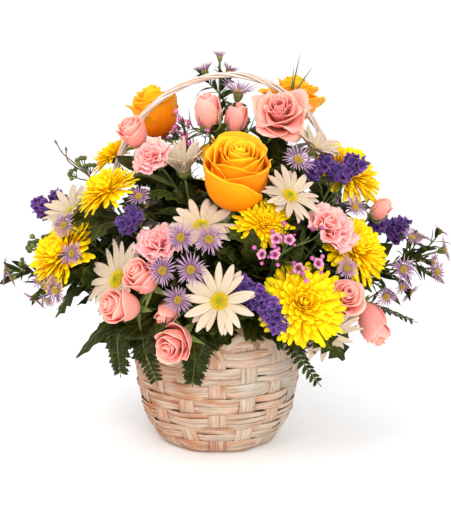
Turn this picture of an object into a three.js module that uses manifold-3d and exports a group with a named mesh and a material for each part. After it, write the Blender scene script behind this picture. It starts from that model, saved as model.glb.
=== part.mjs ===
// A flower basket: a woven splint basket with a twisted cane handle, a plastic liner and a block of
// floral foam in it, and cut flowers and greens that stand in blind holes in the foam.
// Millimetres, +Z up. The origin is the middle of the basket's flat underside, and the front is -Y.
import * as THREE from 'three';
import { mergeVertices } from 'three/addons/utils/BufferGeometryUtils.js';
import Module from 'manifold-3d';

const wasm = await Module();
wasm.setup();

// Basket: a bowl of flat splints, over and under wide stakes
const baseRadius = 53;
const rimRadius = 76.5;
const wallTop = 110;
const wallThickness = 3;
const floorThickness = 3.2;
const bowlCurve = 3.3;
const stakes = 16;
const weavers = 8;
const weaveRelief = 1.1;

// Rim hoop: a flat band that caps the wall, with slanted lashing splints raised on it
const hoopTop = 115.5;
const hoopOuter = 79.4;
const hoopInner = 71.9;
const lashings = 16;
const lashingRelief = 1;

// Handle: three canes twisted together, its legs pushed down between the wall and the liner
const caneRadius = 3.3;
const caneCount = 3;
const handleTwists = 6;
const handleSteps = 34;
const handleRoute = [
  [-66.7, 0, 64], [-66.7, 0, 92], [-66.8, 0, 116], [-75, 0, 144], [-88, 0, 176], [-94, 0, 212],
  [-88, 0, 248], [-72, 0, 281], [-46, 0, 307], [-14, 0, 322], [20, 0, 325], [54, 0, 313],
  [84, 0, 285], [100, 0, 246], [104, 0, 210], [98, 0, 176], [83, 0, 143], [66.9, 0, 116],
  [66.7, 0, 92], [66.7, 0, 64],
];

// Liner, a plain plastic pot, and the foam that fills it and stands above it in a dome
const linerTopRadius = 62.4;
const linerFootRadius = 49;
const potSides = 18;
const linerWall = 1.2;
const linerTop = 105;
const foamRadius = 60.6;
const foamShoulder = 111;
const foamTop = 134;
const gap = 0.3;
const holeSlack = 0.45;

// Stems: all point away from one spot low in the foam, so that they spread and don't cross
const stemFocus = new THREE.Vector3(0, 0, 62);
const stemDepth = 24;
const lowestEntry = THREE.MathUtils.degToRad(44);
const straightEnough = 0.995;

// Colours of the pieces
const colours = {
  splint: 0xd9b99b, cane: 0xe6cdb8, liner: 0x3c4a3a, foam: 0x3f5d3a, yellow: 0xf2a81d,
  pink: 0xf2a096, rose: 0xf3a3ad, white: 0xf4ecdc, lemon: 0xf0c419, violet: 0x4a2d7a,
  lavender: 0xa58cc0, magenta: 0xb8528a, leaf: 0x3f5a24, bud: 0x6b7a34, twig: 0x6b4a30,
};

const turn = Math.PI * 2;
const { lerp } = THREE.MathUtils;
const vec = (x, y, z) => new THREE.Vector3(x, y, z);
const polar = (radius, angle, z) => vec(radius * Math.cos(angle), radius * Math.sin(angle), z);
const middle = (points) => points.reduce((sum, p) => sum.add(p), vec(0, 0, 0)).divideScalar(points.length);
const upTo = (count) => Array.from({ length: count }, (_, k) => k);

// Seeded random numbers, so that every build grows the same flowers
function randomFrom(seed) {
  let state = seed * 7919 + 17;
  return (low = 0, high = 1) => {
    state = (state * 16807) % 2147483647;
    return low + (high - low) * (state / 2147483647);
  };
}

// A solid from points and triangles, turned so that its faces point out
function closed({ points, faces }) {
  let volume = 0;
  for (const [a, b, c] of faces) {
    volume += points[a].dot(points[b].clone().cross(points[c]));
  }
  const geometry = new THREE.BufferGeometry();
  geometry.setAttribute('position', new THREE.Float32BufferAttribute(points.flatMap((p) => p.toArray()), 3));
  geometry.setIndex(faces.flatMap(([a, b, c]) => (volume < 0 ? [a, c, b] : [a, b, c])));
  const merged = mergeVertices(geometry, 1e-4);
  return new wasm.Manifold(new wasm.Mesh({
    numProp: 3,
    vertProperties: Float32Array.from(merged.attributes.position.array),
    triVerts: Uint32Array.from(merged.index.array),
  }));
}

// A skin over rings of points with the same number in each. Its first ring stays open as its loop, and
// its last is drawn to a point.
function sheath(rings, tip) {
  const count = rings[0].length;
  const last = (rings.length - 1) * count;
  const points = [...rings.flat(), tip];
  const faces = [];
  for (const k of upTo(count)) {
    const next = (k + 1) % count;
    faces.push([points.length - 1, last + k, last + next]);
    for (let row = 0; row < last; row += count) {
      faces.push([row + k, row + next, row + count + next], [row + k, row + count + next, row + count + k]);
    }
  }
  return { points, faces, loop: upTo(count) };
}

// Closes an open loop with a fan
function lid(loop, flip) {
  return upTo(loop.length - 2).map((k) => (
    flip ? [loop[0], loop[k + 2], loop[k + 1]] : [loop[0], loop[k + 1], loop[k + 2]]
  ));
}

// A ring round the axis, from a closed profile of [radius, z] that may change from side to side
function hoop(sides, profileAt) {
  const sections = upTo(sides).map((k) => (
    profileAt(k).map(([radius, z]) => polar(radius, (k / sides) * turn, z))
  ));
  const count = sections[0].length;
  const faces = [];
  for (const k of upTo(sides)) {
    for (const r of upTo(count)) {
      const near = k * count;
      const far = ((k + 1) % sides) * count;
      const next = (r + 1) % count;
      faces.push([near + r, near + next, far + next], [near + r, far + next, far + r]);
    }
  }
  return closed({ points: sections.flat(), faces });
}

// A solid of revolution that meets the axis at both ends, its profile free to change from side to side
function turned(sides, profileAt) {
  const columns = upTo(sides).map(profileAt);
  const rows = columns[0].length;
  const rings = upTo(rows).slice(1, -1).map((r) => (
    columns.map((column, k) => polar(column[r][0], (k / sides) * turn, column[r][1]))
  ));
  const { points, faces, loop } = sheath(rings, vec(0, 0, columns[0][rows - 1][1]));
  const start = points.push(vec(0, 0, columns[0][0][1])) - 1;
  loop.forEach((k) => faces.push([start, (k + 1) % sides, k]));
  return closed({ points, faces });
}

// Adds a tapered stem to an open loop. Its route starts at the loop and ends with a flat cut.
function onStem({ points, faces, loop }, route, { start, end, sides }) {
  let along = route[1].clone().sub(route[0]).normalize();
  const from = (index) => points[index].clone().sub(route[0]);
  const side = from(loop[0]);
  side.addScaledVector(along, -side.dot(along)).normalize();
  const way = Math.sign(along.clone().cross(side).dot(from(loop[1])));
  const rings = route.map((point, i) => {
    const before = route[Math.max(i - 1, 0)];
    along = route[Math.min(i + 1, route.length - 1)].clone().sub(before).normalize();
    side.addScaledVector(along, -side.dot(along)).normalize();
    const other = along.clone().cross(side).multiplyScalar(way);
    const radius = lerp(start, end, i / (route.length - 1));
    return upTo(sides).map((k) => {
      const angle = (k / sides) * turn;
      return points.push(point.clone()
        .addScaledVector(side, radius * Math.cos(angle))
        .addScaledVector(other, radius * Math.sin(angle))) - 1;
    });
  });
  const outward = route[1].clone().sub(route[0]).normalize();
  const first = from(loop[0]);
  first.addScaledVector(outward, -first.dot(outward)).normalize();
  const across = outward.clone().cross(first).multiplyScalar(way);
  const nearest = loop.map((index) => {
    const angle = Math.atan2(from(index).dot(across), from(index).dot(first));
    return (Math.round((angle / turn) * sides) + sides) % sides;
  });
  loop.forEach((index, i) => {
    const after = loop[(i + 1) % loop.length];
    let k = nearest[i];
    faces.push([rings[0][k], after, index]);
    while (k !== nearest[(i + 1) % loop.length]) {
      const next = (k + 1) % sides;
      faces.push([rings[0][k], rings[0][next], after]);
      k = next;
    }
  });
  for (const r of upTo(rings.length - 1)) {
    for (const k of upTo(sides)) {
      const next = (k + 1) % sides;
      const [a, b, c, d] = [rings[r][k], rings[r][next], rings[r + 1][next], rings[r + 1][k]];
      faces.push([b, a, d], [b, d, c]);
    }
  }
  const cut = rings[rings.length - 1];
  faces.push(...lid(cut, true));
  return { points, faces, end: cut.map((index) => points[index]), along };
}

// Pointed petals on a diamond grid over a dome, each diamond raised to a tip
function spikedDome({ core, height, around, rows, jut, spread, reach, ragged = 0.12, seed }) {
  const random = randomFrom(seed);
  const points = [vec(0, 0, height)];
  const faces = [];
  const grid = upTo(rows + 1).map((j) => {
    const angle = lerp(0.34, reach, j / rows);
    const [out, up] = [core * Math.sin(angle), height * Math.cos(angle)];
    return upTo(around).map((i) => points.push(polar(out, ((i + (j % 2) / 2) / around) * turn, up)) - 1);
  });
  const raise = (corners, share) => {
    const base = middle(corners.map((n) => points[n]));
    const out = base.clone().setZ(base.z * (1 - spread * share)).normalize();
    const length = jut * lerp(0.5, 1, share) * random(1 - ragged, 1 + ragged);
    const tip = points.push(base.addScaledVector(out, length)) - 1;
    corners.forEach((corner, n) => faces.push([corner, corners[(n + 1) % 4], tip]));
  };
  for (const i of upTo(around)) {
    const next = (i + 1) % around;
    raise([0, grid[0][i], grid[1][i], grid[0][next]], 0);
    for (const j of upTo(rows - 1)) {
      const left = j % 2 ? i : (i + around - 1) % around;
      const right = j % 2 ? next : i;
      raise([grid[j][i], grid[j + 1][left], grid[j + 2][i], grid[j + 1][right]], (j + 1) / (rows - 1));
    }
    faces.push([grid[rows][i], grid[rows][next], grid[rows - 1][rows % 2 ? next : i]]);
  }
  return { points, faces, loop: grid[rows] };
}

// A chrysanthemum: rows of straps, short in the middle and long at the edge
function mum({ radius, around = 10, rows = 4, seed }) {
  return spikedDome({
    core: radius * 0.58, height: radius * 0.4, around, rows, jut: radius * 0.48, spread: 0.9,
    reach: 1.75, seed,
  });
}

// A bunch of small papery florets round the end of its spike
function statice({ radius, height, around = 7, rows = 5, seed }) {
  return spikedDome({
    core: radius * 0.72, height: height * 0.8, around, rows, jut: radius * 0.36, spread: 0.2,
    reach: 2.5, ragged: 0.5, seed,
  });
}

// A daisy: a low disc, and one petal out of each facet of its edge, widest past the middle
function daisy({ radius, petals = 12, cup = 0.1, disc = false, seed }) {
  const random = randomFrom(seed);
  const hub = radius * 0.27;
  const half = 0.8;
  const points = [];
  const faces = [];
  const ring = (reach, z) => upTo(petals).map((i) => points.push(polar(reach, (i / petals) * turn, z)) - 1);
  const low = ring(hub, -half);
  const high = ring(hub, half);
  const dome = disc ? ring(hub * 0.7, half + radius * 0.08) : high;
  const top = points.push(vec(0, 0, half + radius * 0.1)) - 1;
  for (const i of upTo(petals)) {
    const j = (i + 1) % petals;
    faces.push([top, dome[i], dome[j]]);
    if (disc) faces.push([dome[i], high[i], high[j]], [dome[i], high[j], dome[j]]);
    const centre = ((i + 0.5) / petals) * turn;
    const lift = radius * (cup + random(-0.07, 0.07));
    const reach = radius * random(0.93, 1.04);
    const root = [low[i], low[j], high[j], high[i]];
    const wide = [[-1, -1], [1, -1], [1, 1], [-1, 1]].map(([way, level]) => (
      points.push(polar(reach * 0.68, centre + way * (2.7 / petals), lift * 0.6 + level * 0.5)) - 1
    ));
    root.forEach((corner, k) => {
      const n = (k + 1) % 4;
      faces.push([corner, root[n], wide[n]], [corner, wide[n], wide[k]]);
    });
    const [left, right] = [-1, 1].map((way) => points.push(polar(reach, centre + way / petals, lift)) - 1);
    faces.push([wide[0], wide[1], right], [wide[0], right, left], [wide[1], wide[2], right]);
    faces.push([wide[2], wide[3], left], [wide[2], left, right], [wide[3], wide[0], left]);
  }
  return { points, faces, loop: low };
}

// An aster: a small hub whose edge is a zigzag of triangles, each one drawn out into a fine ray
function aster({ radius, pairs = 7, cup = 0.15, seed }) {
  const random = randomFrom(seed);
  const hub = radius * 0.33;
  const half = 1.1;
  const ring = (shift, z) => upTo(pairs).map((i) => polar(hub, ((i + shift) / pairs) * turn, z));
  const points = [...ring(0, half), ...ring(0.5, -half), vec(0, 0, radius * 0.2)];
  const top = pairs * 2;
  const faces = [];
  const ray = (corners, angle, tilt) => {
    const lift = radius * (cup + tilt + random(-0.06, 0.06));
    const tip = points.push(polar(radius * random(0.88, 1.06), angle, lift)) - 1;
    corners.forEach((corner, n) => faces.push([corner, corners[(n + 1) % 3], tip]));
  };
  for (const i of upTo(pairs)) {
    const j = (i + 1) % pairs;
    faces.push([top, i, j]);
    ray([i, pairs + i, j], ((i + 0.5) / pairs) * turn, 0.12);
    ray([j, pairs + i, pairs + j], ((i + 1) / pairs) * turn, -0.12);
  }
  return { points, faces, loop: upTo(pairs).map((i) => pairs + i) };
}

// A waxflower: a few blunt petals round a cup
function waxflower({ radius, seed }) {
  return aster({ radius, pairs: 4, cup: 0.3, seed });
}

// A rose: cups one inside another, their rims dipping where two petals of a cup meet
function rose({
  radius, height, cups = 3, petals = 5, perPetal = 3, belly = 0.74, mouth = 1, open = 0.5, seed,
}) {
  const random = randomFrom(seed);
  const sides = petals * perPetal;
  const ring = (reach, z, dip, shift) => upTo(sides).map((k) => {
    const edge = (k + shift) % perPetal === 0 ? dip : 0;
    const wander = dip ? random(-0.03, 0.03) : 0;
    const angle = ((k + shift * 0.13) / sides) * turn;
    return polar(radius * reach * (1 - edge + wander), angle, height * (z - edge * 0.8 + wander));
  });
  const rings = [ring(0.2, -0.48, 0, 0), ring(belly, -0.22, 0, 0)];
  for (const cup of upTo(cups)) {
    const out = 1 - cup / (cups + 0.35);
    const rim = lerp(0.44 - 0.42 * open * out, 0.48, cup / cups);
    const inside = Math.max(rim - 0.2 - 0.08 * out, -0.04);
    rings.push(ring(mouth * (cup ? out * 0.9 : 1), rim, 0.13, cup));
    rings.push(ring(mouth * (cup ? out * 0.9 - 0.16 : 0.78), inside, 0, cup));
  }
  rings.push(ring(mouth * 0.16, 0.5, 0.1, cups));
  return sheath(rings, vec(0, 0, height * 0.36));
}

// A rose bud: two cups drawn in at the mouth
function bud({ radius, height, seed }) {
  return rose({
    radius, height, cups: 2, petals: 4, perPetal: 2, belly: 0.98, mouth: 0.74, open: 0.1, seed,
  });
}

// A carnation: frilled cups, every second point of a rim pushed out and up
function carnation({ radius, seed }) {
  const random = randomFrom(seed);
  const sides = 12;
  const ring = (reach, z, frill, shift) => upTo(sides).map((k) => {
    const way = (k + shift) % 2 ? frill : -frill;
    const angle = ((k + random(-0.2, 0.2) * frill) / sides) * turn;
    const out = radius * (reach + 0.07 * way + 0.03 * frill * random(-1, 1));
    return polar(out, angle, radius * (z + 0.09 * way * random(0.4, 1.4)));
  });
  return sheath([
    ring(0.26, -0.9, 0, 0), ring(0.93, 0.02, 1, 0), ring(0.78, 0.12, 0.3, 0), ring(0.76, 0.38, 1, 1),
    ring(0.52, 0.24, 0.3, 1), ring(0.48, 0.56, 1, 0), ring(0.26, 0.38, 0.2, 0), ring(0.2, 0.62, 0.8, 1),
  ], vec(0, 0, radius * 0.48));
}

// A round green bud
function knob({ radius }) {
  const ring = (z) => upTo(4).map((k) => polar(radius, (k / 4) * turn, radius * z));
  return sheath([ring(-0.5), ring(0.5)], vec(0, 0, radius * 1.2));
}

// Each kind of head: what makes it, and how far below its middle its stem starts
const kinds = {
  rose: { make: rose, back: (h) => h.height * 0.55 },
  spray: { make: (h) => rose({ petals: 4, cups: 2, ...h }), back: (h) => h.height * 0.55 },
  bud: { make: bud, back: (h) => h.height * 0.55 },
  carnation: { make: carnation, back: (h) => h.radius * 1.05 },
  daisy: { make: daisy, back: (h) => h.radius * 0.28 },
  mum: { make: mum, back: (h) => h.radius * 0.34 },
  statice: { make: statice, back: (h) => h.height * 0.85 },
  aster: { make: aster, back: (h) => h.radius * 0.55 },
  waxflower: { make: waxflower, back: (h) => h.radius * 0.8 },
  knob: { make: knob, back: (h) => h.radius * 1.1 },
};

// A thin blade along a rib, open at its start. Each facet of its edge is drawn out into a tooth or a
// leaflet that leans forward. A fold lowers both sides from the rib.
function blade({ route, up, steps, width, tooth, thick = 0.8, fold = 0, sweep = 0.6 }) {
  const curve = new THREE.CatmullRomCurve3(route);
  const columns = fold ? [-1, 0, 1] : [-1, 1];
  const wide = columns.length;
  const points = [];
  const faces = [];
  const frames = upTo(steps + 1).map((k) => {
    const t = (k / steps) * 0.96;
    const along = curve.getTangent(t);
    const side = along.clone().cross(up).normalize();
    const face = side.clone().cross(along).normalize();
    for (const level of [0.5, -0.5]) {
      for (const way of columns) {
        const drop = Math.abs(way) * fold * width(t);
        points.push(curve.getPoint(t)
          .addScaledVector(side, way * width(t))
          .addScaledVector(face, level * thick - drop));
      }
    }
    return { t, along, side, face };
  });
  for (const k of upTo(steps)) {
    const near = k * 2 * wide;
    const far = near + 2 * wide;
    for (const c of upTo(wide - 1)) {
      const [a, b, d, e] = [near + c, near + c + 1, far + c + 1, far + c];
      faces.push([a, b, d], [a, d, e], [a + wide, d + wide, b + wide], [a + wide, e + wide, d + wide]);
    }
    const right = wide - 1;
    const edges = [
      { way: -1, corners: [near, far, far + wide, near + wide] },
      { way: 1, corners: [near + right, near + wide + right, far + wide + right, far + right] },
    ];
    for (const { way, corners } of edges) {
      const { t, along, side, face } = frames[k];
      const length = tooth(t + 0.5 / steps);
      const tip = points.push(middle(corners.map((n) => points[n]))
        .addScaledVector(side, way * length)
        .addScaledVector(along, sweep * length)
        .addScaledVector(face, -fold * length)) - 1;
      corners.forEach((corner, n) => faces.push([corner, corners[(n + 1) % 4], tip]));
    }
  }
  const end = steps * 2 * wide;
  const tip = points.push(curve.getPoint(1)) - 1;
  for (const c of upTo(wide - 1)) {
    faces.push([end + c, end + c + 1, tip], [end + wide + c + 1, end + wide + c, tip]);
  }
  faces.push([end, tip, end + wide], [end + wide - 1, end + 2 * wide - 1, tip]);
  return { points, faces, loop: [...upTo(wide), ...upTo(wide).map((c) => 2 * wide - 1 - c)] };
}

// The distance from the stems' focus to the foam's surface along a direction
function foamReach(out) {
  const level = Math.hypot(out.x, out.y);
  const slope = (foamTop - foamShoulder) / foamRadius;
  return (foamTop - stemFocus.z) / (out.z + slope * level);
}

// The way in which a stem that leads to a point leaves the foam, never flatter than the lowest entry
function entryTowards(point) {
  const out = point.clone().sub(stemFocus).normalize();
  const level = Math.hypot(out.x, out.y);
  if (Math.atan2(out.z, level) > lowestEntry) return out;
  const scale = Math.cos(lowestEntry) / level;
  return vec(out.x * scale, out.y * scale, Math.sin(lowestEntry));
}

// A stem's route from the head's foot down to the bottom of its hole, straight where it can be
function stemRoute(foot, face) {
  const out = entryTowards(foot);
  const bottom = stemFocus.clone().addScaledVector(out, foamReach(out) - stemDepth);
  const leave = stemFocus.clone().addScaledVector(out, foamReach(out) + 3);
  const span = leave.distanceTo(foot);
  const straight = out.dot(foot.clone().sub(leave).normalize()) > straightEnough;
  if (straight && out.dot(face) > 0.9) return [foot, bottom];
  const back = foot.clone().addScaledVector(face, -span * 0.4);
  const on = leave.clone().addScaledVector(out, span * 0.3);
  const bend = new THREE.CubicBezierCurve3(foot, back, on, leave);
  return [...bend.getPoints(2), bottom];
}

// A head turned from straight up to its facing, with its middle at its place, ready for its stem
function headAt(head, kind) {
  const face = vec(...head.face).normalize();
  const turned = new THREE.Quaternion().setFromUnitVectors(vec(0, 0, 1), face);
  const made = kinds[kind].make(head);
  made.points.forEach((point) => point.applyQuaternion(turned).add(vec(...head.at)));
  return made;
}

const larger = (a, b) => (b.volume() > a.volume() ? b : a);
const largest = (solid) => solid.decompose().reduce(larger);
const fuse = (parts) => largest(parts.reduce((whole, part) => whole.add(part)));

// A point on a route of straight pieces, at a share of its length
function pointOn(route, share) {
  const path = new THREE.CurvePath();
  upTo(route.length - 1).forEach((k) => path.add(new THREE.LineCurve3(route[k], route[k + 1])));
  return path.getPointAt(share);
}

// What grows on one stem: the first head or blade ends it, and the others sit on branches that leave
// it at fork, counted from the foam
function plant({ kind, heads = [], blades = [], stem = 1.6, fork = 0.55 }) {
  const sides = stem > 1.7 ? 4 : 3;
  const parts = [];
  let main = null;
  let hole = null;
  const grow = (open, foot, face, share) => {
    const route = main ? [foot, pointOn(main, 1 - share)] : stemRoute(foot, face);
    const whole = onStem(open, route, main
      ? { start: stem * 0.6, end: stem * 0.6, sides: 3 }
      : { start: stem * 0.8, end: stem, sides });
    parts.push(closed(whole));
    main = main ?? route;
    hole = hole ?? whole;
  };
  for (const head of heads) {
    const type = head.kind ?? kind;
    const face = vec(...head.face).normalize();
    const foot = vec(...head.at).addScaledVector(face, -kinds[type].back(head));
    grow(headAt(head, type), foot, face, head.fork ?? fork);
  }
  for (const leaf of blades) {
    const route = leaf.route.map((point) => vec(...point));
    const face = route[1].clone().sub(route[0]).normalize();
    grow(blade({ up: vec(...(leaf.up ?? [0, 0, 1])), ...leaf, route }), route[0], face, leaf.fork ?? fork);
  }
  return { solid: fuse(parts), hole };
}

// The outlines of the blades: a frond with its leaflets, a leaf with cut edges, and a blade of grass
const ferny = (length) => ({
  steps: 12, width: (t) => 1.4 * (1 - 0.55 * t), tooth: (t) => length * Math.sin(0.55 + 2.5 * t) ** 0.8,
});
const toothed = (half) => ({
  steps: 6, fold: 0.25, width: (t) => 1.2 + half * Math.sin(Math.PI * t ** 0.85), tooth: () => half * 0.4,
});
const grassy = { steps: 4, width: (t) => 1 * (1 - t) + 0.3, tooth: () => 0.2 };

// A small tuft of statice, a few of which make a comb
const clump = { around: 5, rows: 2 };

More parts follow.
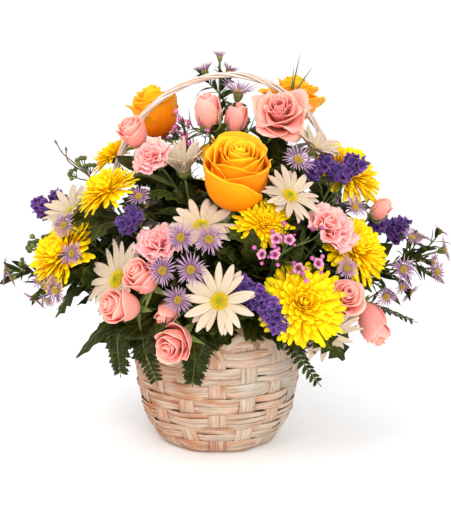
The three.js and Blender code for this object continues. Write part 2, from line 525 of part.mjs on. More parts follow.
// The flowers, each with its place, facing and size. The first head of a list ends the stem.
const flowers = [
  { name: 'rose_yellow_front', kind: 'rose', colour: 'yellow', stem: 2.4, heads: [
    { at: [15, -84, 247], face: [0.05, -0.55, 0.83], radius: 28, height: 54, cups: 4, open: 0.3, seed: 1 },
  ] },
  { name: 'rose_yellow_left', kind: 'rose', colour: 'yellow', stem: 2.4, heads: [
    { at: [-49, 31, 290], face: [-0.25, 0, 1], radius: 24, height: 46, cups: 3, open: 0.4, seed: 2 },
  ] },
  { name: 'rose_yellow_right', kind: 'rose', colour: 'yellow', stem: 2.4, heads: [
    { at: [70, 40, 303], face: [0.15, 0.1, 1], radius: 31, height: 40, cups: 3, open: 0.8, seed: 3 },
  ] },
  { name: 'rose_yellow_back', kind: 'rose', colour: 'yellow', stem: 2.4, heads: [
    { at: [-4, 92, 248], face: [0, 0.6, 0.8], radius: 27, height: 46, cups: 3, open: 0.5, seed: 4 },
  ] },
  { name: 'rose_pink_open', kind: 'spray', colour: 'pink', stem: 2, heads: [
    { at: [53, -24, 289], face: [0, -0.78, 0.63], radius: 27, height: 34, cups: 3, open: 0.85, seed: 5 },
  ] },
  { name: 'rose_pink_buds_top', kind: 'bud', colour: 'pink', heads: [
    { at: [-10, -20, 294], face: [-0.1, -0.1, 1], radius: 13.5, height: 36, seed: 6 },
    { at: [17, -14, 288], face: [0.1, -0.1, 1], radius: 11, height: 32, seed: 7 },
  ] },
  { name: 'rose_pink_bud_left', kind: 'spray', colour: 'pink', heads: [
    { at: [-75, -26, 277], face: [-0.4, -0.4, 0.8], radius: 14, height: 27, open: 0.3, seed: 8 },
  ] },
  { name: 'rose_pink_pair_left', kind: 'spray', colour: 'pink', heads: [
    { at: [-81, -111, 145], face: [-0.75, -0.6, 0.2], radius: 16, height: 34, seed: 9 },
    { at: [-61, -109, 168], face: [-0.45, -0.65, 0.6], radius: 17, height: 31, open: 0.3, seed: 10 },
  ] },
  { name: 'rose_pink_low', kind: 'spray', colour: 'pink', heads: [
    { at: [-37, -118, 117], face: [-0.4, -0.85, -0.2], radius: 18, height: 32, cups: 3, open: 0.6, seed: 11 },
    { at: [-44, -102, 141], face: [-0.5, -0.6, -0.4], kind: 'bud', radius: 8.5, height: 22, seed: 12 },
  ] },
  { name: 'rose_pink_pair_right', kind: 'spray', colour: 'pink', heads: [
    { at: [108, -80, 148], face: [0.5, -0.6, 0.6], radius: 16, height: 28, open: 0.6, seed: 13 },
    { at: [131, -62, 120], face: [0.35, -0.35, -0.85], radius: 16, height: 36, open: 0.3, seed: 14 },
  ] },
  { name: 'rose_pink_bud_right', kind: 'bud', colour: 'pink', heads: [
    { at: [142, -14, 213], face: [0.7, -0.2, 0.6], radius: 8, height: 22, seed: 15 },
  ] },
  { name: 'rose_pink_pair_back', kind: 'spray', colour: 'pink', heads: [
    { at: [66, 98, 186], face: [0.5, 0.75, 0.45], radius: 17, height: 30, open: 0.6, seed: 16 },
    { at: [34, 118, 158], face: [0.2, 0.95, 0.2], radius: 14, height: 28, open: 0.4, seed: 17 },
  ] },
  { name: 'carnation_upper_left', kind: 'carnation', colour: 'rose', heads: [
    { at: [-60, -48, 254], face: [-0.5, -0.6, 0.6], radius: 16, seed: 18 },
  ] },
  { name: 'carnation_left', kind: 'carnation', colour: 'rose', heads: [
    { at: [-48, -95, 199], face: [-0.3, -0.7, 0.6], radius: 19, seed: 19 },
  ] },
  { name: 'carnation_right', kind: 'carnation', colour: 'rose', heads: [
    { at: [93, -80, 203], face: [0.45, -0.6, 0.65], radius: 20, seed: 20 },
  ] },
  { name: 'carnation_back', kind: 'carnation', colour: 'rose', heads: [
    { at: [52, 84, 228], face: [0.35, 0.55, 0.75], radius: 20, seed: 21 },
  ] },
  { name: 'daisy_front', kind: 'daisy', colour: 'white', heads: [
    { at: [2, -124, 152], face: [0, -0.96, 0.28], radius: 28, petals: 13, disc: true, seed: 22 },
  ] },
  { name: 'daisy_right', kind: 'daisy', colour: 'white', heads: [
    { at: [58, -88, 230], face: [0.35, -0.65, 0.65], radius: 25, petals: 13, disc: true, seed: 23 },
  ] },
  { name: 'daisy_left', kind: 'daisy', colour: 'white', heads: [
    { at: [-88, -72, 160], face: [-0.65, -0.6, 0.45], radius: 28, petals: 13, disc: true, seed: 24 },
  ] },
  { name: 'daisy_upper_left', kind: 'daisy', colour: 'white', heads: [
    { at: [-30, -44, 247], face: [0.1, -0.2, 0.97], radius: 16, petals: 11, cup: 1.5, seed: 25 },
  ] },
  { name: 'daisy_far_left', kind: 'daisy', colour: 'white', heads: [
    { at: [-124, -24, 207], face: [-0.5, -0.3, 0.8], radius: 23, petals: 10, cup: 0.5, seed: 26 },
  ] },
  { name: 'daisy_upper_right', kind: 'daisy', colour: 'white', heads: [
    { at: [82, -26, 262], face: [0.5, -0.1, 0.85], radius: 21, petals: 10, cup: 0.5, seed: 27 },
  ] },
  { name: 'daisy_low_right', kind: 'daisy', colour: 'white', heads: [
    { at: [87, -84, 123], face: [0.35, -0.7, -0.6], radius: 25, petals: 10, seed: 28 },
  ] },
  { name: 'daisy_centre', kind: 'daisy', colour: 'white', heads: [
    { at: [-12, -88, 205], face: [0.05, -0.65, 0.75], radius: 27, petals: 11, seed: 29 },
  ] },
  { name: 'daisies_back', kind: 'daisy', colour: 'white', heads: [
    { at: [-58, 70, 236], face: [-0.4, 0.5, 0.75], radius: 24, petals: 10, seed: 30 },
    { at: [-70, 98, 190], face: [-0.4, 0.85, 0.35], radius: 24, petals: 10, seed: 31 },
  ] },
  { name: 'mum_right_front', kind: 'mum', colour: 'lemon', stem: 2.2, heads: [
    { at: [76, -108, 146], face: [0.2, -0.88, 0.42], radius: 34, around: 12, rows: 5, seed: 32 },
  ] },
  { name: 'mum_centre', kind: 'mum', colour: 'lemon', heads: [
    { at: [38, -94, 205], face: [0.1, -0.8, 0.6], radius: 21, around: 9, seed: 33 },
  ], blades: [
    { route: [[24, -62, 164], [18, -86, 176], [14, -108, 180]], ...toothed(9), fork: 0.5 },
  ] },
  { name: 'mum_right', kind: 'mum', colour: 'lemon', heads: [
    { at: [118, -58, 178], face: [0.55, -0.5, 0.65], radius: 26, seed: 34 },
  ] },
  { name: 'mum_upper_right', kind: 'mum', colour: 'lemon', heads: [
    { at: [121, 4, 234], face: [0.5, -0.4, 0.75], radius: 27, seed: 35 },
  ] },
  { name: 'mum_left', kind: 'mum', colour: 'lemon', heads: [
    { at: [-132, -48, 176], face: [-0.75, -0.3, 0.55], radius: 28, seed: 36 },
  ], blades: [
    { route: [[-72, -50, 134], [-94, -66, 118], [-118, -76, 93]], ...toothed(12), fork: 0.42 },
    { route: [[-96, -32, 142], [-122, -38, 140], [-139, -46, 121]], ...grassy, fork: 0.5 },
  ] },
  { name: 'mums_upper_left', kind: 'mum', colour: 'lemon', heads: [
    { at: [-92, -54, 231], face: [-0.45, -0.3, 0.8], radius: 24, seed: 37 },
    { at: [-92, 20, 252], face: [-0.5, 0.1, 0.85], radius: 19, around: 9, seed: 38 },
  ] },
  { name: 'mum_back', kind: 'mum', colour: 'lemon', heads: [
    { at: [-16, 116, 196], face: [-0.1, 0.85, 0.5], radius: 27, around: 9, seed: 39 },
  ] },
  { name: 'mum_back_left', kind: 'mum', colour: 'lemon', heads: [
    { at: [-114, 50, 200], face: [-0.7, 0.4, 0.6], radius: 23, around: 9, seed: 40 },
  ] },
  { name: 'statice_far_left', kind: 'statice', colour: 'violet', heads: [
    { at: [-156, 12, 207], face: [-0.8, 0, 0.6], radius: 9, height: 13, ...clump, seed: 41 },
    { at: [-142, 12, 213], face: [-0.5, 0, 0.85], radius: 9, height: 13, ...clump, seed: 80 },
  ] },
  { name: 'statice_left', kind: 'statice', colour: 'violet', heads: [
    { at: [-76, -82, 216], face: [-0.4, -0.5, 0.8], radius: 9, height: 13, ...clump, seed: 42 },
    { at: [-86, -82, 206], face: [-0.6, -0.5, 0.6], radius: 9, height: 13, ...clump, seed: 81 },
  ] },
  { name: 'statice_front', kind: 'statice', colour: 'violet', heads: [
    { at: [34, -108, 154], face: [-0.05, -0.75, 0.65], radius: 10, height: 14, ...clump, seed: 43 },
    { at: [24, -106, 162], face: [-0.3, -0.7, 0.7], radius: 9, height: 13, ...clump, seed: 82 },
    { at: [42, -112, 144], face: [0, -0.85, 0.5], radius: 10, height: 13, ...clump, seed: 83 },
    { at: [50, -112, 134], face: [0.1, -0.9, 0.3], radius: 8, height: 12, ...clump, seed: 84 },
  ] },
  { name: 'statice_right', kind: 'statice', colour: 'violet', heads: [
    { at: [101, -36, 249], face: [0.1, -0.3, 0.95], radius: 9, height: 16, ...clump, seed: 44 },
    { at: [85, -38, 243], face: [-0.3, -0.3, 0.9], radius: 8, height: 14, ...clump, seed: 85 },
    { at: [116, -36, 248], face: [0.5, -0.3, 0.8], radius: 8, height: 14, ...clump, seed: 86 },
  ] },
  { name: 'statice_far_right', kind: 'statice', colour: 'violet', heads: [
    { at: [156, 12, 188], face: [0.6, -0.1, 0.8], radius: 11, height: 17, ...clump, seed: 45 },
    { at: [138, 8, 194], face: [0.2, -0.2, 0.95], radius: 9, height: 15, ...clump, seed: 87 },
  ] },
  { name: 'statice_back', kind: 'statice', colour: 'violet', heads: [
    { at: [104, 56, 206], face: [0.6, 0.4, 0.7], radius: 10, height: 16, ...clump, seed: 46 },
    { at: [96, 66, 194], face: [0.6, 0.6, 0.5], radius: 9, height: 14, ...clump, seed: 88 },
  ] },
  { name: 'asters_top', kind: 'aster', colour: 'lavender', heads: [
    { at: [2, 13, 344], face: [0, 0, 1], radius: 7, cup: 1, seed: 47 },
    { at: [-12, 12, 333], face: [-0.3, 0, 0.95], radius: 11, cup: 0.7, fork: 0.86, seed: 48 },
    { at: [13, 15, 332], face: [0.4, 0.1, 0.9], radius: 10, cup: 0.7, fork: 0.88, seed: 49 },
    { at: [22, -14, 312], face: [0.1, -0.2, 1], radius: 13, cup: 0.4, fork: 0.84, seed: 50 },
  ] },
  { name: 'asters_left', kind: 'aster', colour: 'lavender', heads: [
    { at: [-184, -22, 157], face: [-0.95, -0.2, 0.1], radius: 12, seed: 51 },
    { at: [-158, -34, 135], face: [-0.5, -0.3, -0.7], radius: 11, fork: 0.7, seed: 52 },
    { at: [-134, -72, 150], face: [-0.5, -0.7, -0.1], radius: 12, seed: 53 },
  ] },
  { name: 'asters_left_front', kind: 'aster', colour: 'lavender', heads: [
    { at: [-126, -70, 204], face: [-0.5, -0.75, 0.4], radius: 11, seed: 54 },
  ] },
  { name: 'asters_centre', kind: 'aster', colour: 'lavender', heads: [
    { at: [-28, -120, 202], face: [-0.1, -0.9, 0.4], radius: 12, seed: 55 },
    { at: [-6, -122, 201], face: [0.1, -0.9, 0.4], radius: 12, fork: 0.7, seed: 56 },
    { at: [-42, -122, 176], face: [-0.3, -0.9, 0.3], radius: 12, fork: 0.65, seed: 57 },
    { at: [-20, -128, 178], face: [0, -0.95, 0.3], radius: 12, fork: 0.7, seed: 58 },
    { at: [-30, -128, 154], face: [-0.2, -0.95, 0.1], radius: 11, fork: 0.5, seed: 59 },
  ] },
  { name: 'asters_right', kind: 'aster', colour: 'lavender', heads: [
    { at: [194, -38, 178], face: [0.9, -0.2, 0.3], radius: 11, seed: 60 },
    { at: [176, -20, 187], face: [0.5, 0, 0.85], radius: 11, fork: 0.75, seed: 61 },
    { at: [186, -50, 161], face: [0.7, -0.6, 0.1], radius: 11, fork: 0.8, seed: 62 },
    { at: [158, -48, 163], face: [0.3, -0.9, 0.2], radius: 11, fork: 0.6, seed: 63 },
    { at: [166, -36, 141], face: [0.6, -0.4, -0.6], radius: 10, fork: 0.5, seed: 64 },
  ] },
  { name: 'asters_upper_right', kind: 'aster', colour: 'lavender', heads: [
    { at: [74, -68, 258], face: [0.3, -0.7, 0.6], radius: 13, seed: 65 },
    { at: [114, -62, 218], face: [0.6, -0.6, 0.5], radius: 9, seed: 66 },
  ] },
  { name: 'asters_back', kind: 'aster', colour: 'lavender', heads: [
    { at: [30, 104, 206], face: [0.2, 0.8, 0.55], radius: 12, seed: 67 },
    { at: [10, 120, 226], face: [0, 0.9, 0.4], radius: 12, fork: 0.7, seed: 68 },
    { at: [-34, 104, 224], face: [-0.3, 0.8, 0.5], radius: 11, seed: 69 },
  ] },
  { name: 'waxflower_front', kind: 'waxflower', colour: 'magenta', stem: 1.3, heads: [
    { at: [60, -114, 191], face: [0, -0.85, 0.5], radius: 6, seed: 70 },
    { at: [72, -112, 196], face: [0.2, -0.9, 0.4], radius: 6, fork: 0.8, seed: 71 },
    { at: [82, -110, 184], face: [0.4, -0.8, 0.3], radius: 6, fork: 0.75, seed: 72 },
    { at: [68, -118, 180], face: [0.1, -0.95, 0], radius: 5.5, fork: 0.7, seed: 73 },
    { at: [50, -116, 184], face: [-0.3, -0.9, 0.2], radius: 5.5, fork: 0.65, seed: 74 },
    { at: [94, -106, 180], face: [0.4, -0.8, 0.4], radius: 5.5, fork: 0.6, seed: 75 },
  ] },
  { name: 'waxflower_top', kind: 'waxflower', colour: 'magenta', stem: 1.3, heads: [
    { at: [-30, -8, 284], face: [-0.2, -0.3, 0.9], radius: 6, seed: 76 },
    { at: [-38, -4, 276], face: [-0.6, -0.3, 0.7], radius: 5.5, fork: 0.85, seed: 77 },
    { at: [-28, -18, 274], face: [-0.1, -0.8, 0.5], radius: 5.5, fork: 0.8, seed: 78 },
  ] },
  { name: 'bud_sprigs_left', kind: 'knob', colour: 'bud', stem: 1.3, heads: [
    { at: [-120, -6, 250], face: [-0.5, 0, 0.8], radius: 3.6 },
    { at: [-112, -14, 246], face: [-0.3, -0.4, 0.8], radius: 3.4, fork: 0.93 },
    { at: [-128, -8, 240], face: [-0.8, -0.1, 0.5], radius: 3.4, fork: 0.88 },
    { at: [-164, -22, 198], face: [-0.8, -0.2, 0.4], radius: 4, fork: 0.35 },
    { at: [-158, -34, 192], face: [-0.8, -0.5, 0.2], radius: 4, fork: 0.35 },
    { at: [-140, -10, 268], face: [-0.5, 0, 0.85], radius: 1.6, fork: 0.9 },
    { at: [-131, -12, 262], face: [-0.1, -0.1, 1], radius: 1.6, fork: 0.9 },
  ] },
];

// Greens: fronds and leaves, each one a blade on its own bent stalk
const greens = [
  { name: 'fern_left', blades: [
    { route: [[-60, -66, 122], [-82, -90, 118], [-88, -96, 82]], ...ferny(13) },
  ] },
  { name: 'fern_front', blades: [
    { route: [[-12, -80, 122], [-16, -100, 112], [-20, -104, 76]], ...ferny(12) },
  ] },
  { name: 'fern_right', stem: 1.1, blades: [
    { route: [[57.6, -66, 121], [60, -90, 117], [68, -108, 100], [84, -116, 80]], ...ferny(9) },
    { route: [[88, -30, 120], [132, -36, 128], [172, -46, 116]], ...ferny(12), fork: 0.4 },
  ] },
  { name: 'fern_back', blades: [
    { route: [[-40, 84, 134], [-56, 108, 118], [-62, 118, 84]], ...ferny(13) },
    { route: [[44, 86, 132], [70, 104, 114], [82, 112, 80]], ...ferny(13), fork: 0.4 },
  ] },
  { name: 'leaves_right', blades: [
    { route: [[92, 14, 190], [112, 18, 206], [136, 20, 214]], ...toothed(10) },
    { route: [[102, 28, 144], [130, 34, 142], [156, 40, 128]], ...toothed(10), fork: 0.45 },
  ] },
  { name: 'grass_and_twigs', blades: [
    { route: [[62, 8, 270], [66, 12, 310], [72, 12, 338]], ...grassy },
  ] },
];

// The outer radius of the basket at a height, before its weave
const bowlRadius = (z) => lerp(baseRadius, rimRadius, 1 - (1 - z / wallTop) ** bowlCurve);

// The wall and base in one: weavers stand out over one stake and sink behind the next
function basketWall() {
  const sides = stakes * 2;
  const rows = weavers * 2;
  return turned(sides, (k) => {
    const outside = upTo(rows + 1).map((row) => {
      const over = (Math.floor(k / 2) + Math.floor(row / 2)) % 2 ? 1 : -1;
      const raised = row % 2 && k % 2 ? over * weaveRelief : -0.4 * weaveRelief * (1 - (row % 2));
      const z = (wallTop * row) / rows;
      return [bowlRadius(z) + (row % rows ? raised : 0), z];
    });
    const inside = [wallTop, wallTop * 0.5, wallTop * 0.16, floorThickness].map((z) => (
      [bowlRadius(z) - wallThickness - (z === floorThickness ? 2 : 0), z]
    ));
    return [[0, 0], ...outside, ...inside, [0, floorThickness]];
  });
}

// The hoop that caps the wall, with a splint laced round it at a slant over each stake
function rimHoop() {
  const sides = lashings * 2;
  return hoop(sides, (k) => {
    const proud = k % 2 ? lashingRelief : 0;
    const low = wallTop + gap;
    return [
      [hoopInner, low], [hoopOuter + proud * 0.6, low], [hoopOuter + proud, hoopTop - 2],
      [hoopOuter - 2.2, hoopTop + proud], [hoopInner + 1, hoopTop - 0.6 + proud],
    ];
  });
}

// The handle: one closed section with a lobe for each cane, turned along the route
function handleSolid() {
  const curve = new THREE.CatmullRomCurve3(handleRoute.map((point) => vec(...point)));
  const sides = caneCount * 2;
  const rings = curve.getSpacedPoints(handleSteps).map((point, i) => {
    const t = i / handleSteps;
    const along = curve.getTangentAt(t);
    const across = vec(0, 1, 0);
    const outward = across.clone().cross(along).normalize();
    const twist = t * handleTwists * turn;
    return upTo(sides).map((k) => {
      const angle = (k / sides) * turn + twist;
      const reach = caneRadius * (k % 2 ? 0.78 : 1.12);
      return point.clone()
        .addScaledVector(outward, reach * Math.cos(angle))
        .addScaledVector(across, reach * Math.sin(angle));
    });
  });
  const points = rings.flat();
  const faces = [];
  for (const i of upTo(handleSteps)) {
    for (const k of upTo(sides)) {
      const next = (k + 1) % sides;
      const [a, b] = [i * sides + k, i * sides + next];
      faces.push([a, b, b + sides], [a, b + sides, a + sides]);
    }
  }
  const first = upTo(sides);
  faces.push(...lid(first, true), ...lid(first.map((k) => handleSteps * sides + k), false));
  return closed({ points, faces });
}

// The liner: a plain pot that stands on the basket's base
function linerPot() {
  const foot = floorThickness + gap;
  return turned(potSides, () => [
    [0, foot], [linerFootRadius, foot], [linerTopRadius, linerTop * 0.4], [linerTopRadius, linerTop],
    [linerTopRadius - linerWall, linerTop], [linerTopRadius - linerWall, linerTop * 0.4],
    [linerFootRadius - linerWall, foot + linerWall], [0, foot + linerWall],
  ]);
}

// The foam block, with one plain blind hole of its own for each stem
function foamBlock(holes) {
  const foot = floorThickness + linerWall + gap * 2;
  const block = turned(potSides, () => [
    [0, foot], [linerFootRadius - linerWall - gap * 2, foot], [foamRadius, linerTop * 0.4 + 1],
    [foamRadius, foamShoulder], [0, foamTop],
  ]);
  return holes.reduce((rest, { end, along }) => {
    const centre = middle(end);
    const inside = centre.distanceTo(middle(end.slice(0, 2)));
    const wider = (inside + holeSlack) / inside;
    const ring = (shift) => end.map((point) => (
      point.clone().sub(centre).multiplyScalar(wider).add(centre).addScaledVector(along, shift)
    ));
    const bottom = centre.clone().addScaledVector(along, 1);
    const { points, faces, loop } = sheath([ring(-stemDepth - 8), ring(holeSlack)], bottom);
    faces.push(...lid(loop, true));
    return rest.subtract(closed({ points, faces }));
  }, block);
}

const steps = [[1, 0, 0], [-1, 0, 0], [0, 1, 0], [0, -1, 0], [0, 0, 1], [0, 0, -1]];
const boxesMeet = (a, b) => [0, 1, 2].every((i) => a.min[i] < b.max[i] + gap && b.min[i] < a.max[i] + gap);

// A piece cut back by the gap wherever it would meet one that is already placed
function clearOf(solid, placed) {
  const near = placed.filter((other) => (
    boxesMeet(solid.boundingBox(), other.boundingBox()) && solid.minGap(other, gap) < gap * 0.9
  ));
  if (!near.length) return solid;
  return largest(near.reduce((rest, other) => (
    steps.reduce((piece, way) => piece.subtract(other.translate(way.map((n) => n * gap))), rest)
  ), solid));
}

const group = new THREE.Group();

function add(name, colour, solid) {
  const { vertProperties, triVerts } = solid.getMesh();
  const geometry = new THREE.BufferGeometry();
  geometry.setAttribute('position', new THREE.BufferAttribute(new Float32Array(vertProperties), 3));
  geometry.setIndex(new THREE.BufferAttribute(new Uint32Array(triVerts), 1));
  geometry.computeVertexNormals();
  const material = new THREE.MeshStandardMaterial({ color: colours[colour], roughness: 0.7, metalness: 0 });
  const mesh = new THREE.Mesh(geometry, material);
  mesh.name = name;
  group.add(mesh);
}

const holder = [
  { name: 'basket_wall', colour: 'splint', solid: basketWall() },
  { name: 'rim_hoop', colour: 'splint', solid: rimHoop() },
  { name: 'handle', colour: 'cane', solid: handleSolid() },
  { name: 'liner', colour: 'liner', solid: linerPot() },
];
const grown = [
  ...flowers.map((spec) => ({ ...spec, ...plant(spec) })),
  ...greens.map((spec) => ({ colour: 'leaf', ...spec, ...plant(spec) })),
];
const placed = holder.map((piece) => piece.solid);
for (const piece of grown) {
  piece.solid = clearOf(piece.solid, placed);
  placed.push(piece.solid);
}
const foam = { name: 'foam', colour: 'foam', solid: foamBlock(grown.map((piece) => piece.hole)) };
for (const { name, colour, solid } of [...holder, foam, ...grown]) {
  add(name, colour, solid);
}

export default group;
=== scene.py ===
# Flower basket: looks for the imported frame. Splints, canes, petals, leaves and stems are grown here,
# each piece in millimetres at its own place, and scaled to metres when its mesh is made.
import math

import bpy
import numpy as np
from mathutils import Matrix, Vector


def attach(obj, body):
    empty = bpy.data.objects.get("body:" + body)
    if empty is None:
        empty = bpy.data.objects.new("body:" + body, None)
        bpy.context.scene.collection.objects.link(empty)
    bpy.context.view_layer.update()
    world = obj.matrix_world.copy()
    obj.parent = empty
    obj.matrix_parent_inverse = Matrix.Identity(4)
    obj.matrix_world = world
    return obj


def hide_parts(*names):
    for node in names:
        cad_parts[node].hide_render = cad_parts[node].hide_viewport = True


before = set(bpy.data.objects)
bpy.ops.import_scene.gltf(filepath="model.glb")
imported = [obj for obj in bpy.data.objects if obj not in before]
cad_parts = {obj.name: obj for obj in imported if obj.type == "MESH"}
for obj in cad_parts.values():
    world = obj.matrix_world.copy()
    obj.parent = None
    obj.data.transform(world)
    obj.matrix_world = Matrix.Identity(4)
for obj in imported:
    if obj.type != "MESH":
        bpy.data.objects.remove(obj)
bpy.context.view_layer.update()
print("frame loaded:", len(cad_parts), "nodes")

turn = 2 * math.pi
golden = math.radians(137.508)     # the step between one petal or leaf and the next


def fromHex(text):                 # sRGB hex to linear
    channels = [int(text[k:k + 2], 16) / 255 for k in (1, 3, 5)]
    return tuple(c / 12.92 if c < 0.04045 else ((c + 0.055) / 1.055) ** 2.4 for c in channels) + (1,)


# Sets a node's sockets. A link may come from a socket, or from a node's first output.
def wireNode(mat, node, values=None, links=None):
    for key, value in (values or {}).items():
        node.inputs[key].default_value = value
    for key, source in (links or {}).items():
        socket = source if isinstance(source, bpy.types.NodeSocket) else source.outputs[0]
        mat.node_tree.links.new(socket, node.inputs[key])
    return node


def addNode(mat, kind, values=None, links=None, stops=None, **settings):
    node = mat.node_tree.nodes.new("ShaderNode" + kind)
    for key, value in settings.items():
        setattr(node, key, value)
    if stops:
        elements = node.color_ramp.elements
        elements.remove(elements[1])
        elements[0].position, elements[0].color = stops[0][0], fromHex(stops[0][1])
        for place, colour in stops[1:]:
            elements.new(place).color = fromHex(colour)
    return wireNode(mat, node, values, links)


def startMaterial(name):
    mat = bpy.data.materials.new(name)
    mat.use_nodes = True
    return mat, mat.node_tree.nodes["Principled BSDF"]


# What every point of a mesh is marked with: its place along and across its petal, leaf or strip, a
# tint drawn for each of them, and its depth in the bloom or its tone on the weave
markNames = ("along", "across", "tint", "depth")


# Living petal: cells full of pigment under a waxy skin. Colour runs from claw to tip, the heart is
# deeper, fine veins run lengthwise, and light bleeds through.
def petalMaterial(name, look):
    mat, skin = startMaterial(name)
    along, across, tint, depth = [addNode(mat, "Attribute", attribute_name=mark).outputs["Fac"]
                                  for mark in markNames]
    outer = addNode(mat, "ValToRGB", links={"Fac": along}, stops=look["outer"])
    heart = addNode(mat, "ValToRGB", links={"Fac": along}, stops=look["heart"])
    layers = addNode(mat, "MapRange", {"From Min": 0.0, "From Max": look.get("heartSize", 0.7)},
                     {"Value": depth})
    body = addNode(mat, "Mix", links={0: layers, 6: heart, 7: outer}, data_type="RGBA")
    lines = addNode(mat, "CombineXYZ", links={"X": across, "Y": along, "Z": tint})
    # 14 veins across a petal, coarser than real ones, and others on the next petal
    stretched = addNode(mat, "VectorMath", {1: (7, 1.2, 40)}, {0: lines}, operation="MULTIPLY")
    veins = addNode(mat, "TexNoise", {"Scale": 1.0, "Detail": 3.0}, {"Vector": stretched})
    shade = addNode(mat, "MapRange", {"From Min": 0.3, "From Max": 0.7, "To Min": 1 - look.get("vein", 0.1),
                                      "To Max": 1.04}, {"Value": veins})
    uneven = addNode(mat, "MapRange", {"To Min": 1 - look.get("uneven", 0.1), "To Max": 1.05},
                     {"Value": tint})
    value = addNode(mat, "Math", links={0: shade, 1: uneven}, operation="MULTIPLY")
    drift = look.get("drift", 0.008)
    hue = addNode(mat, "MapRange", {"To Min": 0.5 - drift, "To Max": 0.5 + drift}, {"Value": tint})
    colour = addNode(mat, "HueSaturation", links={"Color": body.outputs[2], "Value": value, "Hue": hue})
    bump = addNode(mat, "Bump", {"Strength": 0.25, "Distance": 0.0004}, {"Height": veins})
    wireNode(mat, skin, {
        "Roughness": look.get("roughness", 0.55), "IOR": 1.42, "Specular IOR Level": look.get("gloss", 0.3),
        "Subsurface Weight": look.get("bleed", 0.25), "Subsurface Radius": (1.0, 0.6, 0.35),
        "Subsurface Scale": 0.002, "Sheen Weight": look.get("velvet", 0.15)},
        {"Base Color": colour, "Normal": bump})
    return mat


# Leaf: a waxy green blade, paler along its midrib and side veins, and mottled
def leafMaterial(name, look):
    mat, skin = startMaterial(name)
    along, across, tint = [addNode(mat, "Attribute", attribute_name=mark).outputs["Fac"]
                           for mark in markNames[:3]]
    spot = addNode(mat, "TexCoord").outputs["Object"]
    mottle = addNode(mat, "TexNoise", {"Scale": 160.0, "Detail": 4.0}, {"Vector": spot})    # 6 mm mottling
    side = addNode(mat, "Math", links={0: across}, operation="ABSOLUTE")
    slope = addNode(mat, "Math", {1: -0.16}, {0: side, 2: along}, operation="MULTIPLY_ADD")
    steps = addNode(mat, "Math", {1: look.get("sideVeins", 7.0)}, {0: slope}, operation="MULTIPLY")
    saw = addNode(mat, "Math", {1: 0.5}, {0: steps}, operation="PINGPONG")
    sideVein = addNode(mat, "MapRange", {"From Min": 0.0, "From Max": 0.09, "To Min": 1.0, "To Max": 0.0},
                       {"Value": saw})
    midrib = addNode(mat, "MapRange", {"From Min": 0.03, "From Max": 0.13, "To Min": 1.0, "To Max": 0.0},
                     {"Value": side})
    vein = addNode(mat, "Math", links={0: sideVein, 1: midrib}, operation="MAXIMUM")
    veinShare = addNode(mat, "Math", {1: look.get("vein", 0.35)}, {0: vein}, operation="MULTIPLY")
    green = addNode(mat, "ValToRGB", links={"Fac": mottle}, stops=look["blade"])
    veined = addNode(mat, "Mix", {7: fromHex(look["veinColour"])}, {0: veinShare, 6: green}, data_type="RGBA")
    value = addNode(mat, "MapRange", {"To Min": 0.62, "To Max": 1.25}, {"Value": tint})
    hue = addNode(mat, "MapRange", {"To Min": 0.485, "To Max": 0.51}, {"Value": tint})
    colour = addNode(mat, "HueSaturation", links={"Color": veined.outputs[2], "Value": value, "Hue": hue})
    bump = addNode(mat, "Bump", {"Strength": 0.4, "Distance": 0.0005}, {"Height": vein}, invert=True)
    wireNode(mat, skin, {
        "Roughness": look.get("roughness", 0.45), "IOR": 1.45, "Specular IOR Level": 0.12,
        "Subsurface Weight": 0.08, "Subsurface Radius": (0.5, 1.0, 0.2), "Subsurface Scale": 0.002},
        {"Base Color": colour, "Normal": bump})
    return mat


# Small granular part, such as a daisy's disc: many tiny florets, duller in the middle
def grainMaterial(name, stops):
    mat, skin = startMaterial(name)
    depth, tint = [addNode(mat, "Attribute", attribute_name=mark).outputs["Fac"]
                   for mark in ("depth", "tint")]
    ramp = addNode(mat, "ValToRGB", links={"Fac": depth}, stops=stops)
    value = addNode(mat, "MapRange", {"To Min": 0.75, "To Max": 1.15}, {"Value": tint})
    colour = addNode(mat, "HueSaturation", links={"Color": ramp, "Value": value})
    wireNode(mat, skin, {"Roughness": 0.75, "Specular IOR Level": 0.25}, {"Base Color": colour})
    return mat


# Stem, calyx and bud skin: smooth green with faint lengthwise ribs and a bloom of wax
def stemMaterial(name, stops):
    mat, skin = startMaterial(name)
    spot = addNode(mat, "TexCoord").outputs["Object"]
    blotch = addNode(mat, "TexNoise", {"Scale": 90.0, "Detail": 3.0}, {"Vector": spot})     # 11 mm patches
    tint, across = [addNode(mat, "Attribute", attribute_name=mark).outputs["Fac"]
                    for mark in ("tint", "across")]
    ramp = addNode(mat, "ValToRGB", links={"Fac": blotch}, stops=stops)
    value = addNode(mat, "MapRange", {"To Min": 0.75, "To Max": 1.2}, {"Value": tint})
    colour = addNode(mat, "HueSaturation", links={"Color": ramp, "Value": value})
    wave = addNode(mat, "Math", {1: 60.0}, {0: across}, operation="MULTIPLY")     # 19 ribs round the stem
    rib = addNode(mat, "Math", links={0: wave}, operation="SINE")
    bump = addNode(mat, "Bump", {"Strength": 0.3, "Distance": 0.0002}, {"Height": rib})
    wireNode(mat, skin, {"Roughness": 0.5, "Specular IOR Level": 0.35},
             {"Base Color": colour, "Normal": bump})
    return mat


